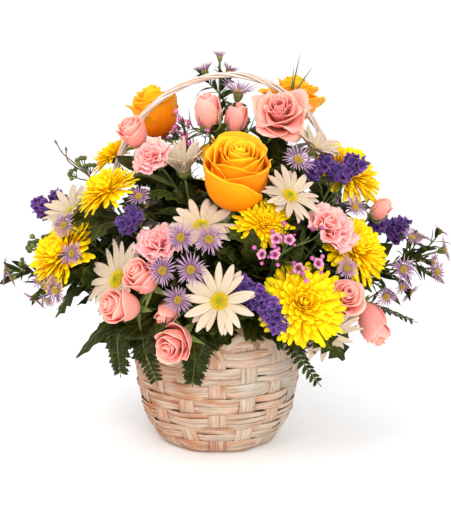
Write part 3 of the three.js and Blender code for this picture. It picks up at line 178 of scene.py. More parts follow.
# Whitewashed splint: peeled poplar, sliced thin and brushed with thinned white. The fibres run along
# it, the wash sits on the ridges, and bare pinkish wood and brown streaks show between.
def splintMaterial(name, look):
    mat, skin = startMaterial(name)
    along, across, tint, tone = [addNode(mat, "Attribute", attribute_name=mark).outputs["Fac"]
                                 for mark in markNames]
    lie = addNode(mat, "CombineXYZ", links={"X": along, "Y": across, "Z": tint})
    fibres = addNode(mat, "VectorMath", {1: look["fibres"]}, {0: lie}, operation="MULTIPLY")
    grain = addNode(mat, "TexNoise", {"Scale": 1.0, "Detail": 5.0, "Roughness": 0.65}, {"Vector": fibres})
    patches = addNode(mat, "VectorMath", {1: look["patches"]}, {0: lie}, operation="MULTIPLY")
    wash = addNode(mat, "TexNoise", {"Scale": 1.0, "Detail": 3.0}, {"Vector": patches})
    wood = addNode(mat, "ValToRGB", links={"Fac": tone}, stops=look["wood"])
    brushed = addNode(mat, "Math", {1: 0.55}, {0: grain, 2: wash}, operation="MULTIPLY_ADD")
    cover = addNode(mat, "MapRange", {"From Min": look["bare"], "From Max": look["bare"] + 0.34,
                                      "To Max": look["cover"]}, {"Value": brushed})
    washed = addNode(mat, "Mix", {7: fromHex(look["white"])}, {0: cover, 6: wood}, data_type="RGBA")
    streak = addNode(mat, "MapRange", {"From Min": 0.45, "From Max": 0.33, "To Max": look["streak"]},
                     {"Value": grain})
    streaked = addNode(mat, "Mix", {7: fromHex(look["brown"])}, {0: streak, 6: washed.outputs[2]},
                       data_type="RGBA")
    bump = addNode(mat, "Bump", {"Strength": 0.6, "Distance": 0.0005}, {"Height": grain})
    wireNode(mat, skin, {"Roughness": 0.72, "Specular IOR Level": 0.3, "IOR": 1.5},
             {"Base Color": streaked.outputs[2], "Normal": bump})
    return mat


def newGrowth():
    return {"points": [], "faces": [], "looks": [], "marks": [], "count": 0, "materials": []}


def addPart(growth, points, faces, look, along, across, tint, depth):
    if look not in growth["materials"]:
        growth["materials"].append(look)
    points = np.asarray(points, float).reshape(-1, 3)
    marks = np.empty((len(points), len(markNames)))
    for column, values in enumerate((along, across, tint, depth)):
        marks[:, column] = np.ravel(values)
    growth["points"].append(points)
    growth["marks"].append(marks)
    growth["faces"] += [[index + growth["count"] for index in face] for face in faces]
    growth["looks"] += [growth["materials"].index(look)] * len(faces)
    growth["count"] += len(points)


def unit(way):
    way = np.asarray(way, float)
    return way / np.linalg.norm(way)


def unitRows(ways):
    return ways / np.linalg.norm(ways, axis=1, keepdims=True)


def tangentsOf(path):
    return unitRows(np.gradient(path, axis=0))


def runOf(path):                   # the length of a path up to each of its points
    return np.r_[0, np.cumsum(np.linalg.norm(np.diff(path, axis=0), axis=1))]


def roundPath(out, angles, z):     # points at a distance from the axis, an angle round it and a height
    x, y = out * np.cos(angles), out * np.sin(angles)
    return np.stack([x, y, np.broadcast_to(z, np.shape(x))], axis=-1)


sheetFaces = {}                    # faces of a sheet by its rows and columns, once worked out


def facesOfSheet(rows, cols):
    if (rows, cols) not in sheetFaces:
        back = rows * cols
        faces = []
        for r in range(rows - 1):
            for c in range(cols - 1):
                a = r * cols + c
                faces.append([a, a + 1, a + cols + 1, a + cols])
                faces.append([back + a + cols, back + a + cols + 1, back + a + 1, back + a])
        edge = list(range(cols)) + [r * cols + cols - 1 for r in range(1, rows)]
        edge += [(rows - 1) * cols + c for c in range(cols - 2, -1, -1)]
        edge += [r * cols for r in range(rows - 2, 0, -1)]
        for here, after in zip(edge, edge[1:] + edge[:1]):
            faces.append([after, here, back + here, back + after])
        sheetFaces[(rows, cols)] = faces
    return sheetFaces[(rows, cols)]


# A thin sheet over a grid of points, rows from root to tip
def addSheet(growth, grid, look, thick, tint, depth):
    rows, cols = grid.shape[:2]
    normal = np.cross(np.gradient(grid, axis=1), np.gradient(grid, axis=0))
    normal /= np.maximum(np.linalg.norm(normal, axis=2, keepdims=True), 1e-9)
    half = np.full((rows, cols, 1), thick / 2)
    half[[0, -1]] *= 0.5
    half[:, [0, -1]] *= 0.5
    v = np.repeat(np.linspace(0, 1, rows), cols)
    u = np.tile(np.linspace(-1, 1, cols), rows)
    points = np.concatenate([grid - normal * half, grid + normal * half])
    addPart(growth, points, facesOfSheet(rows, cols), look, np.tile(v, 2), np.tile(u, 2), tint, depth)


# A round tube along a path, its radius given at each point, closed at both ends
def addTube(growth, path, radii, sides, look, tint=0.5, depth=0.5):
    path = np.asarray(path, float)
    rows = len(path)
    radii = np.broadcast_to(radii, rows)
    tangent = tangentsOf(path)
    side = np.cross(tangent[0], (0.3, 0.9, 0.31) if abs(tangent[0][1]) < 0.9 else (1, 0, 0.1))
    angles = np.arange(sides) / sides * turn
    points = np.empty((rows, sides, 3))
    for r in range(rows):
        side = side - tangent[r] * side.dot(tangent[r])
        side /= np.linalg.norm(side)
        other = np.cross(tangent[r], side)
        ring = np.outer(np.cos(angles), side) + np.outer(np.sin(angles), other)
        points[r] = path[r] + radii[r] * ring
    faces = []
    for r in range(rows - 1):
        for k in range(sides):
            a, b = r * sides + k, r * sides + (k + 1) % sides
            faces.append([a, b, b + sides, a + sides])
    faces.append(list(range(sides))[::-1])
    faces.append([(rows - 1) * sides + k for k in range(sides)])
    along = np.repeat(np.linspace(0, 1, rows), sides)
    addPart(growth, points, faces, look, along, np.tile(angles / turn * 2 - 1, rows), tint, depth)


# A turned solid on the head's axis. Each ring of its profile is a share of the width and of the height.
def addTurned(growth, profile, wide, tall, sides, look, tint, depth=0.5, at=(0, 0, 0)):
    path = np.outer([z for _, z in profile], (0, 0, tall)) + at
    addTube(growth, path, [wide * r for r, _ in profile], sides, look, tint, depth)


# Many small pointed nubs, such as the florets of a disc
def addNubs(growth, roots, ways, radius, length, sides, look, tints, depth):
    roots, ways = np.asarray(roots, float), np.asarray(ways, float)
    ways = unitRows(ways)
    side = unitRows(np.cross(ways, (0.21, 0.42, 0.88)))
    other = np.cross(ways, side)
    radius, length = np.broadcast_to(radius, len(roots)), np.broadcast_to(length, len(roots))
    angles = np.arange(sides) / sides * turn
    ring = side[:, None] * np.cos(angles)[:, None] + other[:, None] * np.sin(angles)[:, None]
    low = roots[:, None] + ring * radius[:, None, None]
    high = roots[:, None] + ring * radius[:, None, None] * 0.85 + (ways * length[:, None] * 0.7)[:, None]
    tip = (roots + ways * length[:, None])[:, None]
    points = np.concatenate([low, high, tip], axis=1)
    size = sides * 2 + 1
    faces = []
    for n in range(len(roots)):
        start = n * size
        for k in range(sides):
            a, b = start + k, start + (k + 1) % sides
            faces.append([a, b, b + sides, a + sides])
            faces.append([a + sides, b + sides, start + size - 1])
        faces.append([start + k for k in range(sides)][::-1])
    each = np.tile(np.r_[np.zeros(sides), np.ones(sides + 1)], len(roots))
    tints, depth = [np.repeat(np.broadcast_to(values, len(roots)), size) for values in (tints, depth)]
    addPart(growth, points, faces, look, each, 0.0, tints, depth)


def turnedTo(face):                # the rotation from straight up to a facing
    return np.array(Vector((0, 0, 1)).rotation_difference(Vector(face)).to_matrix())


# Turns what was grown since a mark to its facing and moves it to its place
def settle(growth, mark, face, at):
    spin = turnedTo(face)
    for k in range(mark, len(growth["points"])):
        growth["points"][k] = growth["points"][k] @ spin.T + np.asarray(at, float)


def addThing(name, data):
    thing = bpy.data.objects.new(name, data)
    bpy.context.scene.collection.objects.link(thing)
    return thing


def finishPiece(name, growth, nodes):
    points = np.concatenate(growth["points"]) * 0.001      # millimetres to metres
    mesh = bpy.data.meshes.new(name)
    mesh.from_pydata(points.tolist(), [], growth["faces"])
    marks = np.concatenate(growth["marks"])
    for column, label in enumerate(markNames):
        layer = mesh.attributes.new(label, "FLOAT", "POINT")
        layer.data.foreach_set("value", marks[:, column].astype(np.float32))
    for look in growth["materials"]:
        mesh.materials.append(look)
    mesh.polygons.foreach_set("material_index", growth["looks"])
    mesh.polygons.foreach_set("use_smooth", [True] * len(mesh.polygons))
    mesh.update()
    piece = addThing(name, mesh)
    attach(piece, "root")
    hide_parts(*nodes)


def smoothPath(points, count):     # a centripetal curve through the points, evenly sampled
    points = np.asarray(points, float)
    if len(points) == 2:
        return points[0] + np.linspace(0, 1, count)[:, None] * (points[1] - points[0])
    ends = np.vstack([2 * points[0] - points[1], points, 2 * points[-1] - points[-2]])
    dense = []
    for k in range(1, len(ends) - 2):
        p = ends[k - 1:k + 3]
        t = np.r_[0, np.cumsum(np.maximum(np.linalg.norm(np.diff(p, axis=0), axis=1) ** 0.5, 1e-4))]
        for s in np.linspace(t[1], t[2], 14, endpoint=k == len(ends) - 3):
            a = [(p[i] * (t[i + 1] - s) + p[i + 1] * (s - t[i])) / (t[i + 1] - t[i]) for i in range(3)]
            b = [(a[i] * (t[i + 2] - s) + a[i + 1] * (s - t[i])) / (t[i + 2] - t[i]) for i in range(2)]
            dense.append((b[0] * (t[2] - s) + b[1] * (s - t[1])) / (t[2] - t[1]))
    dense = np.array(dense)
    length = runOf(dense)
    even = np.linspace(0, length[-1], count)
    return np.stack([np.interp(even, length, dense[:, k]) for k in range(3)], axis=1)


def sheetGrid(rows, cols):         # across runs from -1 to 1, along from 0 to 1
    along, across = np.meshgrid(np.linspace(0, 1, rows), np.linspace(-1, 1, cols), indexing="ij")
    return across, along


# One petal, strap or sepal that grows from a point beside the head's axis. Bend lists its angles to
# the axis in degrees, and shape its width from claw to tip.
def growStrap(growth, look, theta, root, length, bend, half, shape, rows=6, cols=3, channel=0.2, sway=0.0,
              thick=0.45, rounded=0.12, frill=0.0, waves=3.0, phase=0.0, tint=0.5, depth=1.0, groove=0.0,
              jag=0.0):
    u, v = sheetGrid(rows, cols)
    s = np.linspace(0, 1, 25)
    angles = np.radians(np.interp(s, np.linspace(0, 1, len(bend)), bend))
    mids = (angles[1:] + angles[:-1]) / 2
    outs = root[0] + np.r_[0, np.cumsum(np.sin(mids))] * length / 24
    ups = root[1] + np.r_[0, np.cumsum(np.cos(mids))] * length / 24
    share = v * (1 - rounded * np.abs(u) ** 2.4 - jag * (np.arange(cols) % 2))
    angle = np.interp(share, s, angles)
    width = half * np.interp(v, np.linspace(0, 1, len(shape)), shape)
    lift = channel * width * u * u + frill * np.sin(waves * math.pi * u + phase) * v ** 2
    lift = lift + groove * np.cos(3 * math.pi * u) * np.sin(math.pi * np.clip(v, 0, 1)) ** 0.5
    out = np.interp(share, s, outs) - lift * np.cos(angle)
    up = np.interp(share, s, ups) + lift * np.sin(angle)
    side = u * width + sway * share ** 2
    grid = np.stack([out * math.cos(theta) - side * math.sin(theta),
                     out * math.sin(theta) + side * math.cos(theta), up], axis=2)
    addSheet(growth, grid, look, thick, tint, depth)


# A leaf or leaflet along a path, folded along its rib, with teeth or lobes that lean forward
def growBlade(growth, look, route, half, shape, up=(0, 0, 1), rows=9, cols=5, fold=0.25, teeth=0, cut=0.2,
              thick=0.4, tint=0.5, curl=0.0):
    path = smoothPath(route, rows)
    tangent = tangentsOf(path)
    side = np.cross(tangent, up)
    side /= np.maximum(np.linalg.norm(side, axis=1, keepdims=True), 1e-6)
    face = np.cross(side, tangent)
    u, v = sheetGrid(rows, cols)
    width = half * np.interp(v, np.linspace(0, 1, len(shape)), shape)
    if teeth:
        saw = np.mod(v * teeth, 1.0)
        width = width * (1 - cut * (1 - np.abs(2 * saw - 1)) * np.abs(u))
    drop = fold * np.abs(u) * width - curl * width * u * u
    grid = path[:, None] + side[:, None] * (u * width)[:, :, None] - face[:, None] * drop[:, :, None]
    grid = grid + tangent[:, None] * (0.35 * width * np.abs(u) * np.sin(math.pi * v))[:, :, None]
    addSheet(growth, grid, look, thick, tint, 0.5)


# The materials. Petal stops run from claw to tip.
yellowRose = petalMaterial("Rose petal, yellow, grown", {
    "outer": [(0.0, "#f06800"), (0.35, "#fa7400"), (0.7, "#ff8e04"), (1.0, "#ffb21e")],
    "heart": [(0.0, "#f68404"), (0.6, "#ff9e08"), (1.0, "#ffb81e")],
    "heartSize": 0.8, "bleed": 0.5, "vein": 0.06, "velvet": 0.0, "gloss": 0.15})
pinkRose = petalMaterial("Spray rose petal, salmon pink, grown", {
    "outer": [(0.0, "#f2c09e"), (0.35, "#fb9788"), (0.75, "#fd9e90"), (1.0, "#ffafa2")],
    "heart": [(0.0, "#ff9284"), (0.6, "#ff897d"), (1.0, "#ff9a8e")],
    "heartSize": 0.75, "bleed": 0.5, "vein": 0.06, "velvet": 0.0, "gloss": 0.2})
carnationPetal = petalMaterial("Carnation petal, pink, grown", {
    "outer": [(0.0, "#fd908e"), (0.5, "#ff9c9a"), (0.85, "#ffaaa6"), (1.0, "#ffbcb8")],
    "heart": [(0.0, "#fb8686"), (0.6, "#ff9290"), (1.0, "#ffa8a4")],
    "velvet": 0.0, "bleed": 0.5, "gloss": 0.1})
daisyPetal = petalMaterial("Daisy ray, cream white, grown", {
    "outer": [(0.0, "#c3ae71"), (0.2, "#c8b294"), (0.7, "#ccb59f"), (1.0, "#d1bba7")],
    "heart": [(0.0, "#bca66c"), (0.5, "#c1aa8f"), (1.0, "#c8b29d")],
    "vein": 0.14, "drift": 0.004, "uneven": 0.12, "bleed": 0.3, "velvet": 0.0, "gloss": 0.15})
mumPetal = petalMaterial("Chrysanthemum strap, lemon yellow, grown", {
    "outer": [(0.0, "#ffb800"), (0.4, "#ffc400"), (0.8, "#ffca02"), (1.0, "#ffd20c")],
    "heart": [(0.0, "#ffb600"), (0.5, "#ffc200"), (1.0, "#ffce14")],
    "vein": 0.03, "uneven": 0.06, "bleed": 0.5, "velvet": 0.0, "gloss": 0.15})
staticePetal = petalMaterial("Statice calyx, violet, papery", {
    "outer": [(0.0, "#37175b"), (0.5, "#4f2571"), (0.85, "#643b89"), (1.0, "#825da2")],
    "heart": [(0.0, "#2f1453"), (0.6, "#46216a"), (1.0, "#5d3382")],
    "roughness": 0.8, "bleed": 0.1, "velvet": 0.1, "drift": 0.02, "uneven": 0.3})
asterPetal = petalMaterial("Aster ray, lavender, grown", {
    "outer": [(0.0, "#885f80"), (0.5, "#a07a99"), (1.0, "#bf9eb1")],
    "heart": [(0.0, "#7e5476"), (0.6, "#956d8d"), (1.0, "#b18da4")],
    "drift": 0.025, "uneven": 0.2, "velvet": 0.0})
waxPetal = petalMaterial("Waxflower petal, pink, waxy", {
    "outer": [(0.0, "#a8446c"), (0.4, "#cf7aa0"), (1.0, "#e29cbc")],
    "heart": [(0.0, "#96305c"), (0.6, "#c06490"), (1.0, "#d88cb0")], "roughness": 0.35, "gloss": 0.4})
waxHeart = stemMaterial("Waxflower cup, dark red, waxy",
                        [(0.3, "#6e1c3c"), (0.5, "#852846"), (0.7, "#a04060")])
waxBud = stemMaterial("Waxflower bud, magenta, waxy", [(0.3, "#a03c78"), (0.5, "#bb5290"), (0.7, "#cc72a8")])
darkLeaf = leafMaterial("Leaf blade, dark green, waxy", {
    "blade": [(0.3, "#1b1c04"), (0.5, "#272906"), (0.7, "#3a3c12")], "veinColour": "#5b5c2c"})
mumLeaf = leafMaterial("Chrysanthemum leaf, mid green, downy", {
    "blade": [(0.3, "#232605"), (0.5, "#31360a"), (0.7, "#444a17")], "veinColour": "#656b33",
    "roughness": 0.6, "sideVeins": 5.0})
fernLeaf = leafMaterial("Leatherleaf fern, dark green, glossy", {
    "blade": [(0.3, "#1b1f04"), (0.5, "#252c06"), (0.7, "#373f11")], "veinColour": "#525a26", "vein": 0.2,
    "roughness": 0.35, "sideVeins": 3.0})
paleLeaf = leafMaterial("Sepal, pale green, waxy", {
    "blade": [(0.3, "#51602a"), (0.5, "#677638"), (0.7, "#84904e")], "veinColour": "#a2ac74", "vein": 0.2})
greenStem = stemMaterial("Stem, green, ribbed", [(0.3, "#3f4c1c"), (0.5, "#536128"), (0.7, "#6b783a")])
oliveBud = stemMaterial("Bud skin, olive green, waxy", [(0.3, "#434c1c"), (0.5, "#586226"), (0.7, "#727a36")])
brownTwig = stemMaterial("Twig, brown, bark", [(0.3, "#4a2f1c"), (0.5, "#6b472c"), (0.7, "#85603e")])
daisyDisc = grainMaterial("Daisy disc, yellow florets",
                          [(0.0, "#8f9a1e"), (0.35, "#c9b81c"), (0.7, "#e6c51e"), (1.0, "#d8a814")])
asterDisc = grainMaterial("Aster disc, ochre florets", [(0.0, "#a98c2a"), (1.0, "#c9a53c")])
print("plant materials made")


# Roses. Angles to the axis at five places up a petal: the innermost, the outermost in a closed bloom,
# and the outermost in an open one.
roseForms = {
    "rose": {"look": yellowRose, "petals": 19, "rows": 14, "cols": 13, "half": (0.55, 1.2), "point": 2.0,
             "inner": (30, 6, -6, -12, -16), "closed": (90, 64, 2, -2, 84), "opened": (88, 38, 18, 40, 104),
             "sepals": 0.5, "sepalBend": (105, 114, 104, 84), "larger": 1.1, "heart": 1.35, "open": 0.4},
    "spray": {"look": pinkRose, "petals": 14, "rows": 12, "cols": 13, "half": (0.6, 1.25), "point": 1.9,
              "inner": (30, 10, 0, -8, -12), "closed": (90, 62, 0, -6, 24), "opened": (88, 50, 56, 76, 100),
              "sepals": 0.5, "sepalBend": (100, 96, 88, 100), "larger": 1.1, "heart": 1.5, "open": 0.4},
    "bud": {"look": pinkRose, "petals": 9, "rows": 10, "cols": 9, "half": (0.75, 1.1), "point": 1.7,
            "inner": (40, 10, -10, -14, -14), "closed": (88, 46, -6, -12, -6), "opened": (90, 44, 4, 8, 26),
            "sepals": 0.85, "sepalBend": (90, 82, 20, -2, 8), "larger": 1.08, "heart": 0.9, "open": 0.1},
}
roseCup = [(0.05, -0.56), (0.13, -0.55), (0.21, -0.5), (0.2, -0.45), (0.12, -0.42)]


def growRose(growth, head):
    form = roseForms[head["kind"]]
    random = np.random.default_rng(head["seed"])
    radius, height = head["radius"] * form["larger"], head["height"] * form["larger"]
    opened = head.get("open", form["open"])
    count = form["petals"] + head.get("extra", 0)
    wavy = head.get("wavy", 1)
    u, v = sheetGrid(form["rows"], form["cols"])
    s = np.linspace(0, 1, 33)
    for k in range(count):
        out = (k + 0.5) / count
        theta = k * golden + random.uniform(-0.15, 0.15)
        bend = [inner + (closed + (wide - closed) * opened - inner) * out ** 1.2
                for inner, closed, wide in zip(form["inner"], form["closed"], form["opened"])]
        bend[4] = form["inner"][4] + (bend[4] - form["inner"][4]) / out ** 0.5 + random.uniform(-14, 22) * out
        angles = np.radians(np.interp(s, (0, 0.28, 0.6, 0.85, 1), bend))
        mids = (angles[1:] + angles[:-1]) / 2
        outs, ups = np.r_[0, np.cumsum(np.sin(mids))], np.r_[0, np.cumsum(np.cos(mids))]
        rootOut, rootUp = radius * (0.03 + 0.1 * out), height * (-0.45 + 0.14 * (1 - out))
        topOut = radius * (0.12 + 0.88 * out ** head.get("heart", form["heart"])) * random.uniform(0.94, 1.04)
        topUp = height * (0.49 - (0.09 + 0.46 * opened) * out ** 1.8 + random.uniform(-0.02, 0.02))
        outs = rootOut + (topOut - rootOut) * outs / outs.max()
        ups = rootUp + (topUp - rootUp) * ups / ups.max()
        half = radius * (form["half"][0] + (form["half"][1] - form["half"][0]) * out)
        share = v * (1 - 0.26 * np.abs(u) ** form["point"] * v)
        width = half * np.interp(v, (0, 0.2, 0.55, 0.85, 1), (0.3, 0.66, 1.0, 1.0, 0.88))
        reach = np.interp(share, s, outs)
        late = np.clip((v - 0.45) / 0.55, 0, 1)
        reach = reach * (1 + (0.16 - 0.08 * out) * u * late)
        reach = reach + radius * 0.13 * out ** 2 * np.abs(u) ** 3 * late ** 2
        roll = radius * wavy * (0.04 + 0.05 * opened) * np.sin(4.4 * u + random.uniform(0, 6))
        reach = reach + roll * v ** 3 * out
        roll = height * wavy * (0.018 + 0.07 * opened * out) * np.sin(5.2 * u + random.uniform(0, 6))
        rise = np.interp(share, s, ups) + roll * v ** 4
        around = theta + np.clip(u * width / np.maximum(reach, 0.1), -2.0, 2.0)
        reach = reach + radius * 0.016 * np.sin(13 * u + random.uniform(0, 6)) * v ** 6
        addSheet(growth, roundPath(reach, around, rise), form["look"], 0.5, random.uniform(0.1, 0.9), out)
    for k in range(5):
        length = height * form["sepals"] * random.uniform(0.85, 1.15)
        bend = [angle + random.uniform(-10, 10) for angle in form["sepalBend"]]
        growStrap(growth, paleLeaf, (k + 0.3) * turn / 5, (radius * 0.13, -height * 0.49), length, bend,
                  radius * 0.17, (0.9, 1.0, 0.75, 0.4, 0.12), rows=8, channel=0.35,
                  tint=random.uniform(0.3, 0.9), thick=0.6)
    addTurned(growth, roseCup, radius, height, 10, paleLeaf, 0.4)


carnationForm = {"petals": 20, "frill": 0.15, "waves": 2.0, "calyxTeeth": 5,
                 "calyx": [(0.08, -1.06), (0.2, -1.0), (0.25, -0.8), (0.27, -0.5), (0.3, -0.36)]}


def growCarnation(growth, head):
    random = np.random.default_rng(head["seed"])
    radius = head["radius"]
    for k in range(carnationForm["petals"]):
        out = (k + 0.5) / carnationForm["petals"]
        lean = 8 + 88 * out ** 0.9 + random.uniform(-9, 9)
        bend = [8 + 20 * out, lean * 0.55, lean, lean + random.uniform(-10, 30)]
        growStrap(growth, carnationPetal, k * golden + random.uniform(-0.3, 0.3),
                  (radius * 0.12 * out, -radius * 0.5),
                  radius * (1.08 + 0.22 * out) * random.uniform(0.93, 1.05), bend,
                  radius * (0.42 + 0.42 * out), (0.18, 0.26, 0.6, 0.95, 1.0), rows=9, cols=17,
                  channel=0.15, rounded=0.2,
                  frill=radius * carnationForm["frill"] * random.uniform(0.6, 1.3),
                  waves=carnationForm["waves"] * random.uniform(0.8, 1.2), phase=random.uniform(0, 6),
                  tint=random.uniform(0.1, 0.9), depth=out, jag=0.035)
    addTurned(growth, carnationForm["calyx"], radius, radius, 12, paleLeaf, 0.3)
    for k in range(carnationForm["calyxTeeth"]):
        growStrap(growth, paleLeaf, k * turn / carnationForm["calyxTeeth"], (radius * 0.28, -radius * 0.45),
                  radius * 0.3, (15, 30, 50), radius * 0.15, (1.0, 0.8, 0.15), rows=5, tint=0.35)


def growDisc(growth, look, radius, height, count, level, seed):
    random = np.random.default_rng(seed)
    k = np.arange(count) + 0.5
    out = np.sqrt(k / count)
    angle = k * golden
    roots = roundPath(radius * out, angle, level + height * (1 - out ** 2))
    ways = roundPath(out, angle, 1.0) * (0.8, 0.8, 1)
    size = radius * 0.95 / math.sqrt(count)
    addNubs(growth, roots - ways * 0.5, ways, size, 1.2 + size * random.uniform(0.8, 1.6, count), 5, look,
            random.uniform(0.2, 0.9, count), out)
    base = [(0.3, level - 1.2), (0.98, level - 0.6), (1.0, level + 0.1), (0.8, level + height * 0.3),
            (0.4, level + height * 0.75)]
    addTurned(growth, base, radius, 1, 14, look, 0.3)


# The green cup of scales under a daisy, chrysanthemum or aster
def growCup(growth, look, radius, low, high, scales, seed):
    random = np.random.default_rng(seed)
    cup = [(0.2, low), (0.55, low + (high - low) * 0.25), (0.9, low + (high - low) * 0.7), (1.0, high)]
    addTurned(growth, cup, radius * 0.94, 1, 12, look, 0.3)
    for k in range(scales):
        row = k % 2
        start = cup[1 + row]
        growStrap(growth, look, k * turn / scales, (radius * start[0] * 0.9, start[1]),
                  (high - low) * (0.75 - 0.2 * row), (40 - 15 * row, 15, 5), radius * 0.26, (0.8, 1.0, 0.3),
                  rows=4, thick=0.5, tint=random.uniform(0.2, 0.9))


daisyForm = {"larger": 1.03, "more": 1.25, "half": 1.95, "under": 0.5, "florets": 130, "disc": 0.31,
             "ragged": 0.14, "scales": 16}


def growDaisy(growth, head):
    random = np.random.default_rng(head["seed"])
    radius, cup = head["radius"] * daisyForm["larger"], head.get("cup", 0.1)
    petals = int(head.get("petals", 12) * daisyForm["more"])
    lean = 90 - math.degrees(math.atan(cup * 1.3))
    for row in range(2):
        count = petals if row == 0 else int(petals * daisyForm["under"])
        for k in range(count):
            droop = random.uniform(-12, 14) + 7 * row
            bend = [lean - 26, lean - 10, lean + random.uniform(-6, 8), lean + droop, lean + droop * 2.2]
            long = radius * (0.86 - 0.04 * row + random.uniform(-1, 0.8) * daisyForm["ragged"])
            growStrap(growth, daisyPetal, (k + row * 0.5 + random.uniform(-0.32, 0.32)) * turn / count,
                      (radius * 0.17, radius * (0.04 - 0.07 * row)), long, bend,
                      radius * daisyForm["half"] / petals * random.uniform(0.8, 1.12),
                      (0.35, 0.7, 0.95, 1.0, 0.86, 0.5), rows=9, cols=7, channel=random.uniform(-0.15, 0.5),
                      sway=random.uniform(-3, 3), rounded=0.1, groove=0.35, tint=random.uniform(0.1, 0.9),
                      depth=1 - row * 0.5, jag=0.022)
    growDisc(growth, daisyDisc, radius * daisyForm["disc"] / (1 + cup * 0.8), radius * 0.11,
             daisyForm["florets"], radius * 0.03, head["seed"])
    growCup(growth, paleLeaf, radius * 0.24, -radius * 0.3, -radius * 0.04, daisyForm["scales"], head["seed"])


mumForm = {"straps": 190, "half": 0.074, "shape": (0.5, 0.85, 1.0, 1.0, 1.0, 0.78), "larger": 1.05,
           "scales": 18, "base": [(0.08, -0.3), (0.2, -0.22), (0.26, -0.08), (0.2, 0.05), (0.08, 0.1)]}


def growMum(growth, head):
    random = np.random.default_rng(head["seed"])
    radius = head["radius"] * mumForm["larger"]
    count = int(mumForm["straps"] * min(radius / 28, 1.15))
    for k in range(count):
        out = math.sqrt((k + 0.5) / count)
        lean = 4 + 100 * out ** 1.25
        length = radius * (0.44 + 0.56 * out ** 1.1) * random.uniform(0.84, 1.02 + 0.1 * out)
        curl = random.uniform(-26, 22)
        bend = [lean * 0.85, lean, lean + curl * 0.3 - 10 * (1 - out), lean + curl - 45 * (1 - out) ** 2]
        growStrap(growth, mumPetal, k * golden + random.uniform(-0.1, 0.1),
                  (radius * 0.16 * out, -radius * 0.02 * out), length, bend,
                  radius * mumForm["half"] * random.uniform(0.85, 1.2), mumForm["shape"],
                  channel=0.25, sway=random.uniform(-0.14, 0.14) * length, thick=0.5, rounded=0.05,
                  tint=random.uniform(0.05, 0.95), depth=out)
    addTurned(growth, mumForm["base"], radius, radius, 12, mumPetal, 0.4)
    growCup(growth, mumLeaf, radius * 0.3, -radius * 0.36, -radius * 0.05, mumForm["scales"], head["seed"])


staticeForm = {"florets": 30, "across": 4.5, "lobes": 5, "thick": 0.35,
               "core": [(0.1, -0.85), (0.35, -0.5), (0.55, 0), (0.5, 0.4), (0.2, 0.62)]}


def growStatice(growth, head):
    random = np.random.default_rng(head["seed"])
    radius, height = head["radius"], head["height"]
    count = int(staticeForm["florets"] * (radius / 10) ** 1.6)
    cols = staticeForm["lobes"] * 2 + 1
    around = np.linspace(0, turn, cols)
    for k in range(count):
        out = (k + 0.5) / count
        polar = 2.3 * math.sqrt(out)
        theta = k * golden
        way = roundPath(math.sin(polar), theta, math.cos(polar))
        place = way * np.array([radius * 0.66, radius * 0.66, height * 0.72]) * random.uniform(0.85, 1.1)
        way = way + random.normal(0, 0.32, 3) + (0, 0, 0.3)
        spin = turnedTo(unit(way))
        wide = staticeForm["across"] * random.uniform(0.8, 1.15)
        lobe = 1 + random.uniform(-0.28, 0.2, cols)
        crease = 1.9 * np.sin(around * 3 + k) + random.uniform(-0.7, 0.7, cols)
        lobe[-1], crease[-1] = lobe[0], crease[0]
        rings = ((0.2, 1, -2.6, 0), (0.55, 1, 0.2, crease * 0.3), (1, lobe, 1.3, crease))
        grid = np.stack([roundPath(wide * r * w, around, z + wave) for r, w, z, wave in rings])
        addSheet(growth, grid @ spin.T + place, staticePetal, staticeForm["thick"], random.uniform(0, 1),
                 random.uniform(0.3, 1))
    addTurned(growth, staticeForm["core"], radius, height, 9, staticePetal, 0.1, 0.0)


asterForm = {"rays": 34, "half": 0.036, "larger": 1.16, "florets": 34, "scales": 10}


def growAster(growth, head):
    random = np.random.default_rng(head["seed"])
    radius, cup = head["radius"] * asterForm["larger"], head.get("cup", 0.15)
    lean = 90 - math.degrees(math.atan(cup * 1.2))
    for k in range(asterForm["rays"]):
        row = k % 2
        bend = [lean - 20, lean - 4 * row, lean + random.uniform(-6, 16), lean + random.uniform(-4, 26)]
        growStrap(growth, asterPetal, (k + random.uniform(-0.3, 0.3)) * turn / asterForm["rays"],
                  (radius * 0.2, radius * (0.05 - 0.08 * row)), radius * random.uniform(0.54, 0.94), bend,
                  radius * asterForm["half"], (0.5, 0.9, 1.0, 0.9, 0.4), rows=5, channel=0.3,
                  sway=random.uniform(-1.5, 1.5), thick=0.35, tint=random.uniform(0, 1), depth=1 - 0.4 * row)
    growDisc(growth, asterDisc, radius * 0.25, radius * 0.1, asterForm["florets"], radius * 0.02,
             head["seed"])
    growCup(growth, paleLeaf, radius * 0.27, -radius * 0.52, 0, asterForm["scales"], head["seed"])


waxForm = {"blossom": 0.82, "petals": 5, "stamens": 10, "buds": 3, "bud": (1.3, 2.1), "smallest": 3,
           "cup": [(0.12, -0.82), (0.3, -0.5), (0.42, -0.1), (0.34, 0.1), (0.16, 0.04)],
           "closed": [(0.2, -1.2), (0.7, -0.6), (1.0, 0), (0.8, 0.6), (0.15, 1.0)],
           "budShape": [(0.25, -1.1), (0.75, -0.6), (1.0, 0), (0.75, 0.6), (0.15, 1.0)]}


